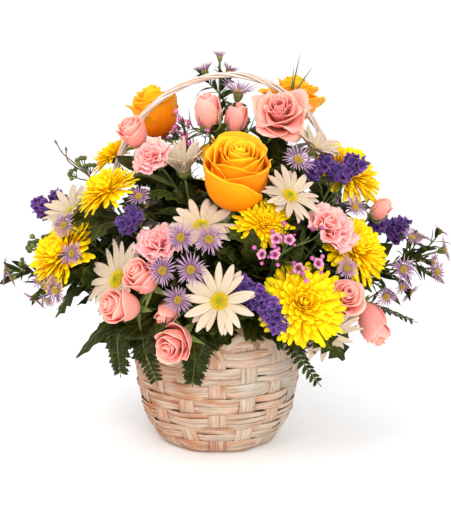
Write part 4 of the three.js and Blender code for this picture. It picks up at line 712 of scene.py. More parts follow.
def growWaxflower(growth, head):
    random = np.random.default_rng(head["seed"])
    radius = head["radius"] * waxForm["blossom"]
    if radius < waxForm["smallest"]:           # a closed bud
        addTurned(growth, waxForm["closed"], radius, radius, 9, waxBud, random.uniform(0.1, 0.9))
        return
    for k in range(waxForm["petals"]):
        growStrap(growth, waxPetal, k * turn / waxForm["petals"] + random.uniform(-0.1, 0.1),
                  (radius * 0.22, 0), radius * 0.85, (50, 65, 72, 50), radius * 0.5,
                  (0.5, 0.9, 1.0, 0.9, 0.5), rows=7, cols=7, channel=0.25, frill=radius * 0.09, phase=k,
                  thick=0.4, tint=random.uniform(0.2, 0.9))
    addTurned(growth, waxForm["cup"], radius, radius, 10, waxHeart, 0.2, 0.0)
    ring = np.arange(waxForm["stamens"]) * turn / waxForm["stamens"]
    roots = roundPath(radius * 0.28, ring, 0.5)
    addNubs(growth, roots, roots * (0.3, 0.3, 1.6), 0.25, 1.4, 4, waxHeart, 0.6, 0.6)
    for k in range(waxForm["buds"]):
        angle, size = k * golden + head["seed"], random.uniform(*waxForm["bud"])
        out = radius * random.uniform(1.1, 1.9)
        at = np.array([out * math.cos(angle), out * math.sin(angle), radius * random.uniform(-0.3, 0.6)])
        root = np.array([0, 0, -radius * 0.82])
        addTube(growth, smoothPath([at, (at + root) * 0.5 + (0, 0, -0.8), root], 6), 0.35, 5, oliveBud, 0.4)
        addTurned(growth, waxForm["budShape"], size, size, 8, waxBud, random.uniform(0.1, 0.9), at=at)


budForm = {"cluster": 5, "size": 0.58, "spread": 1.9, "scales": 4, "thinnest": 2,
           "twigTip": [(0.4, -1.1), (0.7, -0.3), (0.5, 0.8), (0.1, 1.4)],
           "bud": [(0.3, -1.1), (0.8, -0.6), (1.0, 0.0), (0.85, 0.6), (0.45, 0.95), (0.1, 1.1)]}


def growKnob(growth, head):        # a cluster of small buds, or the tip of a twig if it is thin
    random = np.random.default_rng(int(abs(head["at"][0]) * 3))
    radius = head["radius"]
    if radius < budForm["thinnest"]:
        addTurned(growth, budForm["twigTip"], radius, radius, 7, brownTwig, 0.6)
        return
    size = radius * budForm["size"]
    for k in range(budForm["cluster"]):
        angle = k * golden + radius
        out = radius * budForm["spread"] * math.sqrt((k + 0.1) / budForm["cluster"])
        at = np.array([out * math.cos(angle), out * math.sin(angle), radius * random.uniform(-0.7, 0.9)])
        root = np.array([0, 0, -radius * 1.8])
        addTube(growth, smoothPath([at, (at + root) * 0.5 - (0, 0, 0.6), root], 6), 0.45, 5, greenStem, 0.3)
        mark = len(growth["points"])
        addTurned(growth, budForm["bud"], size, size, 8, oliveBud, random.uniform(0.2, 0.9))
        for scale in range(budForm["scales"]):
            growStrap(growth, oliveBud, scale * turn / budForm["scales"], (size * 0.5, -size * 0.9),
                      size * 1.9, (60, 20, 0, -30), size * 0.55, (0.7, 1.0, 0.8, 0.15), rows=5,
                      channel=0.3, tint=0.2 + 0.15 * scale)
        settle(growth, mark, unit(at - root), at)


# Each kind of head: what grows it, and how far below its middle its stem starts, as a share of a measure
kinds = {
    "rose": (growRose, "height", 0.55), "spray": (growRose, "height", 0.55),
    "bud": (growRose, "height", 0.55), "carnation": (growCarnation, "radius", 1.05),
    "daisy": (growDaisy, "radius", 0.28), "mum": (growMum, "radius", 0.34),
    "statice": (growStatice, "height", 0.85), "aster": (growAster, "radius", 0.55),
    "waxflower": (growWaxflower, "radius", 0.8), "knob": (growKnob, "radius", 1.1),
}

# Leaves along the stems: how many, how long, how wide, outline and material, with teeth and curl where
# they aren't the usual ones
roseOutline, mumOutline = (0.1, 0.8, 1.0, 0.85, 0.5, 0.0), (0.15, 0.5, 0.9, 1.0, 0.75, 0.1)
foliage = {
    "rose": {"count": 16, "length": (34, 54), "half": 0.38, "shape": roseOutline, "look": darkLeaf},
    "spray": {"count": 14, "length": (26, 44), "half": 0.36, "shape": roseOutline, "look": darkLeaf},
    "bud": {"count": 14, "length": (24, 40), "half": 0.36, "shape": roseOutline, "look": darkLeaf},
    "carnation": {"count": 10, "length": (26, 44), "half": 0.09, "shape": (0.6, 1.0, 1.0, 0.8, 0.1),
                  "look": paleLeaf, "curl": 0.5},
    "daisy": {"count": 18, "length": (30, 50), "half": 0.38, "shape": mumOutline, "look": mumLeaf, "teeth": 5,
              "curl": 0.1},
    "mum": {"count": 19, "length": (30, 52), "half": 0.38, "shape": mumOutline, "look": mumLeaf, "teeth": 5,
            "curl": 0.1},
    "statice": {"count": 14, "length": (20, 38), "half": 0.22, "shape": (0.6, 1.0, 0.9, 0.5, 0.1),
                "look": darkLeaf},
    "aster": {"count": 30, "length": (9, 24), "half": 0.13, "shape": (0.3, 0.9, 1.0, 0.7, 0.1),
              "look": darkLeaf},
    "waxflower": {"count": 34, "length": (9, 16), "half": 0.05, "shape": (0.8, 1.0, 1.0, 0.7, 0.2),
                  "look": fernLeaf, "curl": 0.1},
    "knob": {"count": 5, "length": (10, 18), "half": 0.16, "shape": (0.2, 0.8, 1.0, 0.8, 0.1),
             "look": mumLeaf},
}

# The foam's dome, the spot that all stems point away from, how deep they stand in it, and how level one
# may enter, in degrees
foamForm = {"radius": 60.6, "shoulder": 111.0, "top": 134.0, "focus": (0.0, 0.0, 62.0), "hole": 24.0,
            "entry": 44.0}


def stemRoute(foot, face, count=16):
    focus = np.array(foamForm["focus"])
    out = unit(foot - focus)
    level = math.hypot(out[0], out[1])
    entry = math.radians(foamForm["entry"])
    if math.atan2(out[2], level) <= entry:
        out = np.array([out[0] / level * math.cos(entry), out[1] / level * math.cos(entry), math.sin(entry)])
        level = math.cos(entry)
    slope = (foamForm["top"] - foamForm["shoulder"]) / foamForm["radius"]
    reach = (foamForm["top"] - focus[2]) / (out[2] + slope * level)
    bottom = focus + out * (reach - foamForm["hole"])
    leave = focus + out * (reach + 3)
    span = np.linalg.norm(foot - leave)
    if out.dot(unit(foot - leave)) > 0.995 and out.dot(face) > 0.9:
        return smoothPath([foot, bottom], count)
    t = np.linspace(0, 1, count - 1)[:, None]
    back, on = foot - face * span * 0.4, leave + out * span * 0.3
    bend = (1 - t) ** 3 * foot + 3 * (1 - t) ** 2 * t * back + 3 * (1 - t) * t * t * on + t ** 3 * leave
    return np.vstack([bend, bottom])


def pointOn(route, share):
    length = runOf(route)
    return np.array([np.interp(share * length[-1], length, route[:, k]) for k in range(3)])


# Leaves along a stem, from just above the foam to under the head, turned outward and drooping a little
def growLeaves(growth, route, kind, seed, count=None, low=0.15, high=0.86):
    form = {"teeth": 0, "curl": 0.2, **foliage[kind]}
    random = np.random.default_rng(seed + 500)
    count = form["count"] if count is None else count
    for k in range(count):
        share = high - (high - low) * (k + random.uniform(0.1, 0.9)) / count
        root = pointOn(route, 1 - share)
        stem = unit(pointOn(route, max(0.97 - share, 0)) - root + 1e-6)
        aside = unit(np.cross(stem, (0.13, 0.31, 0.94)))
        other = np.cross(stem, aside)
        angle = k * golden + random.uniform(-0.4, 0.4)
        around = aside * math.cos(angle) + other * math.sin(angle)
        outward = root * (1, 1, 0)
        around = unit(around + 0.45 * outward / max(np.linalg.norm(outward), 20))
        length = random.uniform(*form["length"])
        way = unit(stem * random.uniform(0.3, 1.0) + around)
        tip = root + way * length - (0, 0, length * random.uniform(0.0, 0.3))
        bulge = root + way * length * 0.55 + stem * length * 0.06
        growBlade(growth, form["look"], [root, bulge, tip], length * form["half"], form["shape"], up=stem,
                  rows=11 if form["teeth"] else 7, cols=5 if form["half"] > 0.3 else 3, teeth=form["teeth"],
                  cut=0.45, fold=random.uniform(0.05, 0.35), curl=form["curl"], tint=random.uniform(0, 1))


fernForm = {"pairs": 16, "lobes": 4, "broad": 0.27, "narrowest": 2.0, "reach": 1.4, "stalk": (1.0, 0.4),
            "points": 60, "seed": 7}


def growFrond(growth, route, length):
    random = np.random.default_rng(fernForm["seed"])
    path = smoothPath(route, fernForm["points"])
    addTube(growth, path, np.linspace(*fernForm["stalk"], fernForm["points"]), 6, greenStem, 0.2)
    for k in range(fernForm["pairs"]):
        t = 0.05 + 0.92 * k / fernForm["pairs"]
        at = pointOn(path, t)
        along = unit(pointOn(path, min(t + 0.04, 1)) - pointOn(path, max(t - 0.04, 0)))
        side = unit(np.cross(along, unit(at * (1, 1, 0)) + (0, 0, 0.8)))
        face = np.cross(side, along)
        reach = length * fernForm["reach"] * min(1.12 - 0.72 * t, 0.6 + 2.4 * t, 6.6 * (1.02 - t))
        for way in (-1, 1):
            lean = random.uniform(0.4, 0.6)
            tip = at + side * way * reach + along * reach * lean + face * reach * random.uniform(-0.3, 0.05)
            bulge = at + side * way * reach * 0.5 + along * reach * lean * 0.44 + face * reach * 0.06
            growBlade(growth, fernLeaf, [at, bulge, tip],
                      max(reach * fernForm["broad"], fernForm["narrowest"]),
                      (0.9, 1.0, 1.0, 0.85, 0.6, 0.1), up=face, rows=fernForm["lobes"] * 2 + 1, cols=3,
                      teeth=fernForm["lobes"], cut=0.4, fold=0.1, tint=random.uniform(0.1, 0.7))


toothedForm = {"broad": 1.15, "shape": (0.12, 0.5, 0.85, 1.0, 0.95, 0.7, 0.1), "teeth": 5, "thick": 0.6}


def growToothed(growth, route, half, seed):
    growBlade(growth, mumLeaf, route, half * toothedForm["broad"], toothedForm["shape"], rows=25, cols=9,
              teeth=toothedForm["teeth"], cut=0.3, fold=0.22, curl=0.12, thick=toothedForm["thick"],
              tint=0.2 + 0.1 * (seed % 4))


grassForm = {"half": 1.1, "fan": ((0, 0, 5), (11, 0, -6), (-5, 0, -5), (5, 4, -14))}


def growGrass(growth, route, count):       # a few narrow blades that spread from one point
    for k in range(count):
        away = np.array(grassForm["fan"][k % 4])
        growBlade(growth, paleLeaf, [route[0], route[1] + away * 0.25, route[2] + away], grassForm["half"],
                  (0.8, 1.0, 0.8, 0.5, 0.1), up=(0, -1, 0.2), rows=14, cols=3, fold=0.5, tint=0.1 + 0.15 * k)


twiggy = {"aster": 8, "waxflower": 6}      # leaves on each side branch
usualFork = 0.55                   # how far up the main stem a side branch leaves it


def pieceName(node):               # rim_hoop becomes rimHoop
    first, *rest = node.split("_")
    return first + "".join(word.capitalize() for word in rest)


# Everything that grows on one stem, made into one piece
def growPlant(node, slot, kind=None, heads=(), blades=(), stem=1.6):
    growth = newGrowth()
    main = None
    rods = []
    for bloom in heads:
        bloom = {"kind": kind, **bloom}
        face = unit(bloom["face"])
        grow, measure, below = kinds[bloom["kind"]]
        foot = np.array(bloom["at"], float) - face * (bloom[measure] * below)
        mark = len(growth["points"])
        grow(growth, bloom)
        settle(growth, mark, face, bloom["at"])
        rods.append((foot, face, bloom.get("fork", usualFork)))
    for blade in blades:
        route = [np.array(point, float) for point in blade["route"]]
        rods.append((route[0], unit(route[1] - route[0]), blade.get("fork", usualFork)))
        if "fern" in blade:
            growFrond(growth, route, blade["fern"])
        elif "toothed" in blade:
            growToothed(growth, route, blade["toothed"], len(node) + len(rods))
        else:
            growGrass(growth, route, blade["grass"])
    skin = brownTwig if kind == "knob" else greenStem
    for foot, face, share in rods:
        if main is None:
            main = stemRoute(foot, face)
            addTube(growth, main, np.linspace(stem * 0.6, stem * 0.85, len(main)), 7, skin, 0.5)
            continue
        joint = pointOn(main, 1 - share)
        span = np.linalg.norm(foot - joint)
        rise = unit(pointOn(main, max(0.95 - share, 0)) - joint)
        under, over = foot - face * span * 0.22 + rise * span * 0.02, joint + rise * span * 0.2
        route = smoothPath([foot, under, over, joint], 10)
        addTube(growth, route, np.linspace(stem * 0.42, stem * 0.55, len(route)), 6, skin, 0.5)
        if kind in twiggy:
            growLeaves(growth, route, kind, int(span * 9), twiggy[kind], 0.05, 0.95)
    growLeaves(growth, main, kind or "mum", len(node) * 7 + len(heads))
    finishPiece(pieceName(node), growth, [node])


def head(at, face, radius, height=0, **rest):
    return {"at": at, "face": face, "radius": radius, "height": height, "seed": 0, **rest}


# Where each flower sits, which way it faces and its size. The first head of a list ends the stem.
flowers = [
    {"node": "rose_yellow_front", "slot": "yellow", "kind": "rose", "stem": 2.4, "heads": [
        head((17, -84, 247), (0.05, -0.55, 0.83), 31, 58, open=0.22, heart=1.5, extra=2, seed=9)]},
    {"node": "rose_yellow_left", "slot": "yellow", "kind": "rose", "stem": 2.4, "heads": [
        head((-56, 31, 291), (-0.25, 0, 1), 23, 46, open=0.45, seed=2)]},
    {"node": "rose_yellow_right", "slot": "yellow", "kind": "rose", "stem": 2.4, "heads": [
        head((67, 40, 303), (0.15, 0.1, 1), 31, 40, open=0.8, seed=3)]},
    {"node": "rose_yellow_back", "slot": "yellow", "kind": "rose", "stem": 2.4, "heads": [
        head((8, 92, 241), (0, 0.6, 0.8), 27, 46, open=0.5, seed=4)]},
    {"node": "rose_pink_open", "slot": "pink", "kind": "spray", "stem": 2, "heads": [
        head((53, -24, 294), (-0.05, -0.84, 0.54), 27, 34, open=0.9, heart=2.05, extra=5, wavy=1.9, seed=7)]},
    {"node": "rose_pink_buds_top", "slot": "pink", "kind": "bud", "heads": [
        head((-8, -20, 294), (-0.1, -0.1, 1), 12.5, 32, seed=6),
        head((16, -14, 288), (0.15, -0.1, 1), 10.5, 28, seed=7)], "blades": [
        {"route": [(4, -16, 265), (1, -24, 279), (4, -24, 294)], "toothed": 7, "fork": 0.9},
        {"route": [(14, -18, 265), (22, -26, 278), (28, -26, 290)], "toothed": 6, "fork": 0.86}]},
    {"node": "rose_pink_bud_left", "slot": "pink", "kind": "spray", "heads": [
        head((-72, -26, 277), (-0.4, -0.4, 0.8), 14, 27, open=0.3, seed=8)]},
    {"node": "rose_pink_pair_left", "slot": "pink", "kind": "spray", "heads": [
        head((-77, -111, 145), (-0.75, -0.6, 0.2), 16, 34, seed=9),
        head((-60, -109, 168), (-0.45, -0.65, 0.6), 15.5, 31, open=0.3, heart=1.9, seed=10)]},
    {"node": "rose_pink_low", "slot": "pink", "kind": "spray", "heads": [
        head((-34, -118, 117), (-0.4, -0.85, -0.2), 18, 32, open=0.45, heart=1.9, seed=11),
        head((-40, -103, 137), (-0.5, -0.6, -0.4), 8.5, 22, kind="bud", seed=12)]},
    {"node": "rose_pink_pair_right", "slot": "pink", "kind": "spray", "heads": [
        head((103, -96, 149), (0.25, -0.75, 0.55), 18.5, 28, open=0.7, heart=1.9, seed=13),
        head((131, -62, 120), (0.35, -0.35, -0.85), 14, 37, open=0.2, seed=14)]},
    {"node": "rose_pink_bud_right", "slot": "pink", "kind": "bud", "heads": [
        head((142, -14, 210), (0.7, -0.2, 0.6), 8, 22, seed=15)]},
    {"node": "rose_pink_pair_back", "slot": "pink", "kind": "spray", "heads": [
        head((66, 98, 186), (0.5, 0.75, 0.45), 17, 30, open=0.6, seed=16),
        head((34, 118, 158), (0.2, 0.95, 0.2), 14, 28, open=0.4, seed=17)]},
    {"node": "carnation_upper_left", "slot": "rose", "kind": "carnation", "heads": [
        head((-55, -48, 258), (-0.5, -0.6, 0.6), 16, seed=18)]},
    {"node": "carnation_left", "slot": "rose", "kind": "carnation", "heads": [
        head((-47, -96, 193), (-0.2, -0.5, 0.82), 18, seed=19)]},
    {"node": "carnation_right", "slot": "rose", "kind": "carnation", "heads": [
        head((93, -80, 203), (0.45, -0.6, 0.65), 20, seed=20)]},
    {"node": "carnation_back", "slot": "rose", "kind": "carnation", "heads": [
        head((52, 84, 228), (0.35, 0.55, 0.75), 20, seed=21)]},
    {"node": "daisy_front", "slot": "white", "kind": "daisy", "heads": [
        head((2, -124, 152), (0, -0.96, 0.28), 28, petals=13, seed=22)]},
    {"node": "daisy_right", "slot": "white", "kind": "daisy", "heads": [
        head((58, -88, 230), (0.35, -0.65, 0.65), 25, petals=13, seed=23)]},
    {"node": "daisy_left", "slot": "white", "kind": "daisy", "heads": [
        head((-80, -84, 161), (-0.7, -0.6, 0.4), 32, petals=14, seed=24)]},
    {"node": "daisy_upper_left", "slot": "white", "kind": "daisy", "heads": [
        head((-28, -46, 247), (-0.12, -0.45, 0.88), 28, petals=18, cup=0.95, seed=25)]},
    {"node": "daisy_far_left", "slot": "white", "kind": "daisy", "heads": [
        head((-125, -26, 208), (-0.5, -0.4, 0.75), 26, petals=12, cup=0.4, seed=26)]},
    {"node": "daisy_upper_right", "slot": "white", "kind": "daisy", "heads": [
        head((82, -28, 262), (0.45, -0.3, 0.85), 24, petals=12, cup=0.4, seed=27)]},
    {"node": "daisy_low_right", "slot": "white", "kind": "daisy", "heads": [
        head((91, -88, 120), (0.35, -0.75, -0.5), 28, petals=13, seed=28)]},
    {"node": "daisy_centre", "slot": "white", "kind": "daisy", "heads": [
        head((-12, -88, 205), (0.05, -0.65, 0.75), 27, petals=11, seed=29)]},
    {"node": "daisies_back", "slot": "white", "kind": "daisy", "heads": [
        head((-58, 70, 236), (-0.4, 0.5, 0.75), 24, petals=10, seed=30),
        head((-70, 98, 190), (-0.4, 0.85, 0.35), 24, petals=10, seed=31)]},
    {"node": "mum_right_front", "slot": "lemon", "kind": "mum", "stem": 2.2, "heads": [
        head((69, -108, 146), (0.12, -0.88, 0.44), 31, seed=32)]},
    {"node": "mum_centre", "slot": "lemon", "kind": "mum", "heads": [
        head((38, -94, 209), (0.1, -0.8, 0.6), 21, seed=33)], "blades": [
        {"route": [(26, -66, 170), (28, -102, 186), (28, -117, 209)], "toothed": 8.5, "fork": 0.5}]},
    {"node": "mum_right", "slot": "lemon", "kind": "mum", "heads": [
        head((114, -60, 183), (0.55, -0.55, 0.6), 29, seed=34)]},
    {"node": "mum_upper_right", "slot": "lemon", "kind": "mum", "heads": [
        head((114, 0, 239), (0.5, -0.5, 0.7), 30, seed=35)]},
    {"node": "mum_left", "slot": "lemon", "kind": "mum", "heads": [
        head((-130, -48, 176), (-0.65, -0.4, 0.6), 31, seed=36)], "blades": [
        {"route": [(-72, -50, 134), (-94, -66, 118), (-118, -76, 93)], "toothed": 12, "fork": 0.42},
        {"route": [(-96, -32, 142), (-122, -38, 140), (-139, -46, 121)], "grass": 1, "fork": 0.5}]},
    {"node": "mums_upper_left", "slot": "lemon", "kind": "mum", "heads": [
        head((-92, -54, 231), (-0.45, -0.3, 0.8), 24, seed=37),
        head((-92, 18, 253), (-0.5, 0, 0.85), 21, seed=38)]},
    {"node": "mum_back", "slot": "lemon", "kind": "mum", "heads": [
        head((-16, 116, 196), (-0.1, 0.85, 0.5), 27, seed=39)]},
    {"node": "mum_back_left", "slot": "lemon", "kind": "mum", "heads": [
        head((-114, 50, 200), (-0.7, 0.4, 0.6), 23, seed=40)]},
    {"node": "statice_far_left", "slot": "violet", "kind": "statice", "heads": [
        head((-156, 12, 207), (-0.8, 0, 0.6), 9, 13, seed=41),
        head((-142, 12, 213), (-0.5, 0, 0.85), 9, 13, seed=80)]},
    {"node": "statice_left", "slot": "violet", "kind": "statice", "heads": [
        head((-67, -82, 214), (-0.4, -0.5, 0.8), 6, 12, seed=42),
        head((-74, -82, 206), (-0.6, -0.5, 0.6), 6.5, 12, seed=81)]},
    {"node": "statice_front", "slot": "violet", "kind": "statice", "heads": [
        head((32, -116, 153), (-0.05, -0.75, 0.65), 11, 14, seed=43),
        head((22, -112, 160), (-0.3, -0.7, 0.7), 9, 13, seed=82),
        head((42, -120, 145), (0, -0.85, 0.5), 11, 13, seed=83),
        head((49, -122, 134), (0.1, -0.9, 0.3), 10, 12, seed=84)]},
    {"node": "statice_right", "slot": "violet", "kind": "statice", "heads": [
        head((100, -38, 245), (0.1, -0.3, 0.95), 6, 11, seed=44),
        head((82, -38, 246), (-0.3, -0.3, 0.9), 6, 11, seed=85),
        head((92, -38, 253), (-0.1, -0.3, 0.95), 5.5, 11, seed=86),
        head((108, -38, 243), (0.2, -0.4, 0.9), 5.8, 11, seed=150),
        head((112, -38, 252), (0.3, -0.3, 0.9), 5.5, 11, seed=151),
        head((119, -38, 250), (0.6, -0.3, 0.75), 5, 11, seed=152)]},
    {"node": "statice_far_right", "slot": "violet", "kind": "statice", "heads": [
        head((161, 12, 188), (0.6, -0.1, 0.8), 11, 17, seed=45),
        head((143, 8, 194), (0.2, -0.2, 0.95), 9, 15, seed=87)]},
    {"node": "statice_back", "slot": "violet", "kind": "statice", "heads": [
        head((104, 56, 206), (0.6, 0.4, 0.7), 10, 16, seed=46),
        head((96, 66, 194), (0.6, 0.6, 0.5), 9, 14, seed=88)]},
    {"node": "asters_top", "slot": "lavender", "kind": "aster", "heads": [
        head((2, 13, 340), (0, 0, 1), 7.5, cup=1, seed=47),
        head((-11, 12, 328), (-0.3, 0, 0.95), 10, cup=0.8, fork=0.86, seed=48),
        head((10, 15, 328), (0.4, 0.1, 0.9), 9, cup=0.8, fork=0.88, seed=49),
        head((18, -14, 310), (0.15, -0.3, 1), 15, cup=0.5, fork=0.84, seed=50)]},
    {"node": "asters_left", "slot": "lavender", "kind": "aster", "heads": [
        head((-184, -22, 157), (-0.95, -0.2, 0.1), 12, seed=51),
        head((-158, -34, 135), (-0.5, -0.3, -0.7), 11, fork=0.7, seed=52),
        head((-134, -72, 150), (-0.5, -0.7, -0.1), 12, seed=53),
        head((-118, -84, 183), (-0.4, -0.8, 0.4), 10, fork=0.6, seed=100),
        head((-178, -30, 152), (-0.7, -0.3, -0.4), 8, fork=0.85, seed=101),
        head((-150, -56, 155), (-0.6, -0.6, 0.2), 8, fork=0.7, seed=102),
        head((-142, -66, 140), (-0.4, -0.7, -0.5), 7, fork=0.6, seed=103)]},
    {"node": "asters_left_front", "slot": "lavender", "kind": "aster", "heads": [
        head((-126, -70, 204), (-0.5, -0.75, 0.4), 11, seed=54),
        head((-64, -70, 228), (-0.2, -0.7, 0.7), 10, fork=0.6, seed=110),
        head((-96, -30, 239), (-0.6, -0.3, 0.7), 7, fork=0.7, seed=111)]},
    {"node": "asters_centre", "slot": "lavender", "kind": "aster", "heads": [
        head((-28, -120, 202), (-0.1, -0.9, 0.4), 12, seed=55),
        head((-6, -122, 201), (0.1, -0.9, 0.4), 12, fork=0.7, seed=56),
        head((-42, -122, 176), (-0.3, -0.9, 0.3), 12, fork=0.65, seed=57),
        head((-20, -128, 178), (0, -0.95, 0.3), 12, fork=0.7, seed=58),
        head((-30, -128, 154), (-0.2, -0.95, 0.1), 11, fork=0.5, seed=59)]},
    {"node": "asters_right", "slot": "lavender", "kind": "aster", "heads": [
        head((194, -38, 178), (0.9, -0.2, 0.3), 11, seed=60),
        head((176, -20, 187), (0.5, 0, 0.85), 11, fork=0.75, seed=61),
        head((186, -50, 161), (0.7, -0.6, 0.1), 11, fork=0.8, seed=62),
        head((158, -48, 163), (0.3, -0.9, 0.2), 11, fork=0.6, seed=63),
        head((166, -36, 141), (0.6, -0.4, -0.6), 10, fork=0.5, seed=64),
        head((166, -40, 189), (0.3, -0.5, 0.8), 9, fork=0.8, seed=120),
        head((183, -46, 169), (0.8, -0.6, 0), 9, fork=0.85, seed=121),
        head((142, -60, 142), (0.2, -0.9, -0.3), 10, fork=0.5, seed=122),
        head((157, -52, 149), (0.4, -0.7, -0.4), 8, fork=0.6, seed=123),
        head((192, -30, 193), (0.6, 0, 0.8), 7, fork=0.85, seed=124)]},
    {"node": "asters_upper_right", "slot": "lavender", "kind": "aster", "heads": [
        head((66, -70, 258), (0.3, -0.7, 0.6), 13, seed=65),
        head((114, -62, 218), (0.6, -0.6, 0.5), 11, seed=66),
        head((105, -96, 173), (0.2, -0.9, 0.4), 10, fork=0.5, seed=130)]},
    {"node": "asters_back", "slot": "lavender", "kind": "aster", "heads": [
        head((30, 104, 206), (0.2, 0.8, 0.55), 12, seed=67),
        head((10, 120, 226), (0, 0.9, 0.4), 12, fork=0.7, seed=68),
        head((-34, 104, 224), (-0.3, 0.8, 0.5), 11, seed=69)]},
    {"node": "waxflower_front", "slot": "magenta", "kind": "waxflower", "stem": 1.3, "heads": [
        head((57, -114, 199), (0.1, -0.85, 0.5), 6, seed=70),
        head((47, -114, 200), (-0.2, -0.9, 0.4), 6, fork=0.8, seed=71),
        head((80, -112, 180), (0.4, -0.8, 0.3), 6, fork=0.6, seed=72),
        head((64, -120, 178), (0.1, -0.95, 0), 6, fork=0.7, seed=73),
        head((46, -117, 188), (-0.1, -0.9, 0.2), 5.5, fork=0.65, seed=74),
        head((36, -117, 188), (-0.5, -0.8, 0.3), 5.5, fork=0.6, seed=75),
        head((53, -112, 212), (0, -0.5, 0.9), 2.6, fork=0.86, seed=160),
        head((76, -108, 207), (0.3, -0.5, 0.8), 2.6, fork=0.82, seed=161),
        head((83, -108, 208), (0.4, -0.4, 0.8), 2.6, fork=0.85, seed=162),
        head((70, -131, 170), (0.3, -0.6, -0.5), 2.6, fork=0.7, seed=163),
        head((67, -128, 175), (0.2, -0.7, -0.3), 2.6, fork=0.75, seed=164)]},
    {"node": "waxflower_top", "slot": "magenta", "kind": "waxflower", "stem": 1.3, "heads": [
        head((-30, -8, 284), (-0.2, -0.3, 0.9), 6, seed=76),
        head((-38, -4, 276), (-0.6, -0.3, 0.7), 5.5, fork=0.85, seed=77),
        head((-28, -18, 274), (-0.1, -0.8, 0.5), 5.5, fork=0.8, seed=78),
        *[head(at, ((-0.5, -0.4, -0.3, -0.2)[k % 4], -0.4, 0.8), 2.6, fork=(0.90, 0.87, 0.84, 0.81)[k % 4],
               seed=140 + k)
          for k, at in enumerate([
              (-35, -24, 295), (-32, -27, 289), (-36, -30, 282), (-27, -24, 273), (-20, -27, 265),
              (-24, -30, 268), (-31, -24, 269), (-8, -27, 279), (-15, -30, 285), (-18, -24, 261)])]]},
    {"node": "bud_sprigs_left", "slot": "bud", "kind": "knob", "stem": 1.3, "heads": [
        head((-120, -6, 250), (-0.5, 0, 0.8), 3.6),
        head((-112, -14, 246), (-0.3, -0.4, 0.8), 3.4, fork=0.93),
        head((-128, -8, 240), (-0.8, -0.1, 0.5), 3.4, fork=0.88),
        head((-163, -24, 178), (-0.8, -0.2, 0.4), 4, fork=0.35),
        head((-156, -33, 182), (-0.8, -0.5, 0.2), 4, fork=0.35),
        head((-148, -30, 187), (-0.5, -0.3, 0.8), 3.4, fork=0.4),
        head((-142, -38, 181), (-0.7, -0.4, 0.4), 3.4, fork=0.36),
        head((-171, -26, 163), (-0.9, -0.2, 0.2), 3, fork=0.3),
        head((-140, -10, 268), (-0.5, 0, 0.85), 1.6, fork=0.9),
        head((-131, -12, 262), (-0.1, -0.1, 1), 1.6, fork=0.9)]},
]

# Fronds and leaves on stalks of their own
greens = [
    {"node": "fern_left", "slot": "leaf", "blades": [
        {"route": [(-60, -66, 122), (-80, -90, 118), (-79, -97, 82)], "fern": 13},
        {"route": [(-54, -70, 122), (-60, -98, 112), (-48, -106, 78)], "fern": 9.5}]},
    {"node": "fern_front", "slot": "leaf", "blades": [
        {"route": [(-12, -80, 122), (-16, -100, 112), (-20, -104, 76)], "fern": 12}]},
    {"node": "fern_right", "slot": "leaf", "stem": 1.1, "blades": [
        {"route": [(57.6, -66, 121), (60, -90, 117), (68, -108, 100), (84, -116, 80)], "fern": 9},
        {"route": [(88, -30, 120), (132, -36, 128), (172, -46, 116)], "fern": 12, "fork": 0.4}]},
    {"node": "fern_back", "slot": "leaf", "blades": [
        {"route": [(-40, 84, 134), (-56, 108, 118), (-62, 118, 84)], "fern": 13},
        {"route": [(44, 86, 132), (70, 104, 114), (82, 112, 80)], "fern": 13, "fork": 0.4}]},
    {"node": "leaves_right", "slot": "leaf", "blades": [
        {"route": [(92, 14, 190), (112, 18, 206), (136, 20, 214)], "toothed": 10},
        {"route": [(102, 28, 144), (130, 34, 142), (156, 40, 128)], "toothed": 10, "fork": 0.45}]},
    {"node": "grass_and_twigs", "slot": "leaf", "blades": [
        {"route": [(62, 8, 270), (66, 12, 310), (72, 12, 338)], "grass": 4}]},
]

for plant in flowers + greens:
    growPlant(**plant)
print("plants grown:", len(flowers) + len(greens))


# Whitewashed splint weaves. Tints run from bare tan through pinkish to grey.
splint = splintMaterial("Poplar splint, sliced and whitewashed", {
    "wood": [(0.0, "#ae6c44"), (0.3, "#b7825f"), (0.65, "#b2947b"), (1.0, "#a5998a")],
    "white": "#cdbeac", "brown": "#714930", "fibres": (0.3, 7.0, 31.0), "patches": (0.4, 2.4, 17.0),
    "bare": 0.64, "cover": 0.78, "streak": 0.65})
oliveSplint = splintMaterial("Poplar splint, tan stained", {
    "wood": [(0.0, "#7a5c38"), (1.0, "#8c6e46")], "white": "#b29a74", "brown": "#553c24",
    "fibres": (0.5, 9.0, 31.0), "patches": (0.25, 1.6, 17.0), "bare": 0.8, "cover": 0.4, "streak": 0.6})
cane = splintMaterial("Willow cane, peeled and whitewashed", {
    "wood": [(0.0, "#b58971"), (0.5, "#c4a08c"), (1.0, "#c8b1a0")], "white": "#e5d9cd", "brown": "#795039",
    "fibres": (0.35, 5.0, 31.0), "patches": (0.14, 1.4, 17.0), "bare": 0.6, "cover": 0.9, "streak": 0.8})


def sideTone(path, shift):        # the tone along a strip: darker and pinker on the left, lighter and greyer on the right, with drift round the basket
    x, y, z = np.asarray(path, float).T
    around = np.arctan2(y, x)
    drift = 0.17 * np.sin(3 * around + z / 9 + shift * 5) + 0.15 * np.sin(11 * around - z / 12 + shift * 9)
    return np.clip(0.4 + 0.0065 * x + drift + 0.4 * (shift - 0.5), 0, 1)


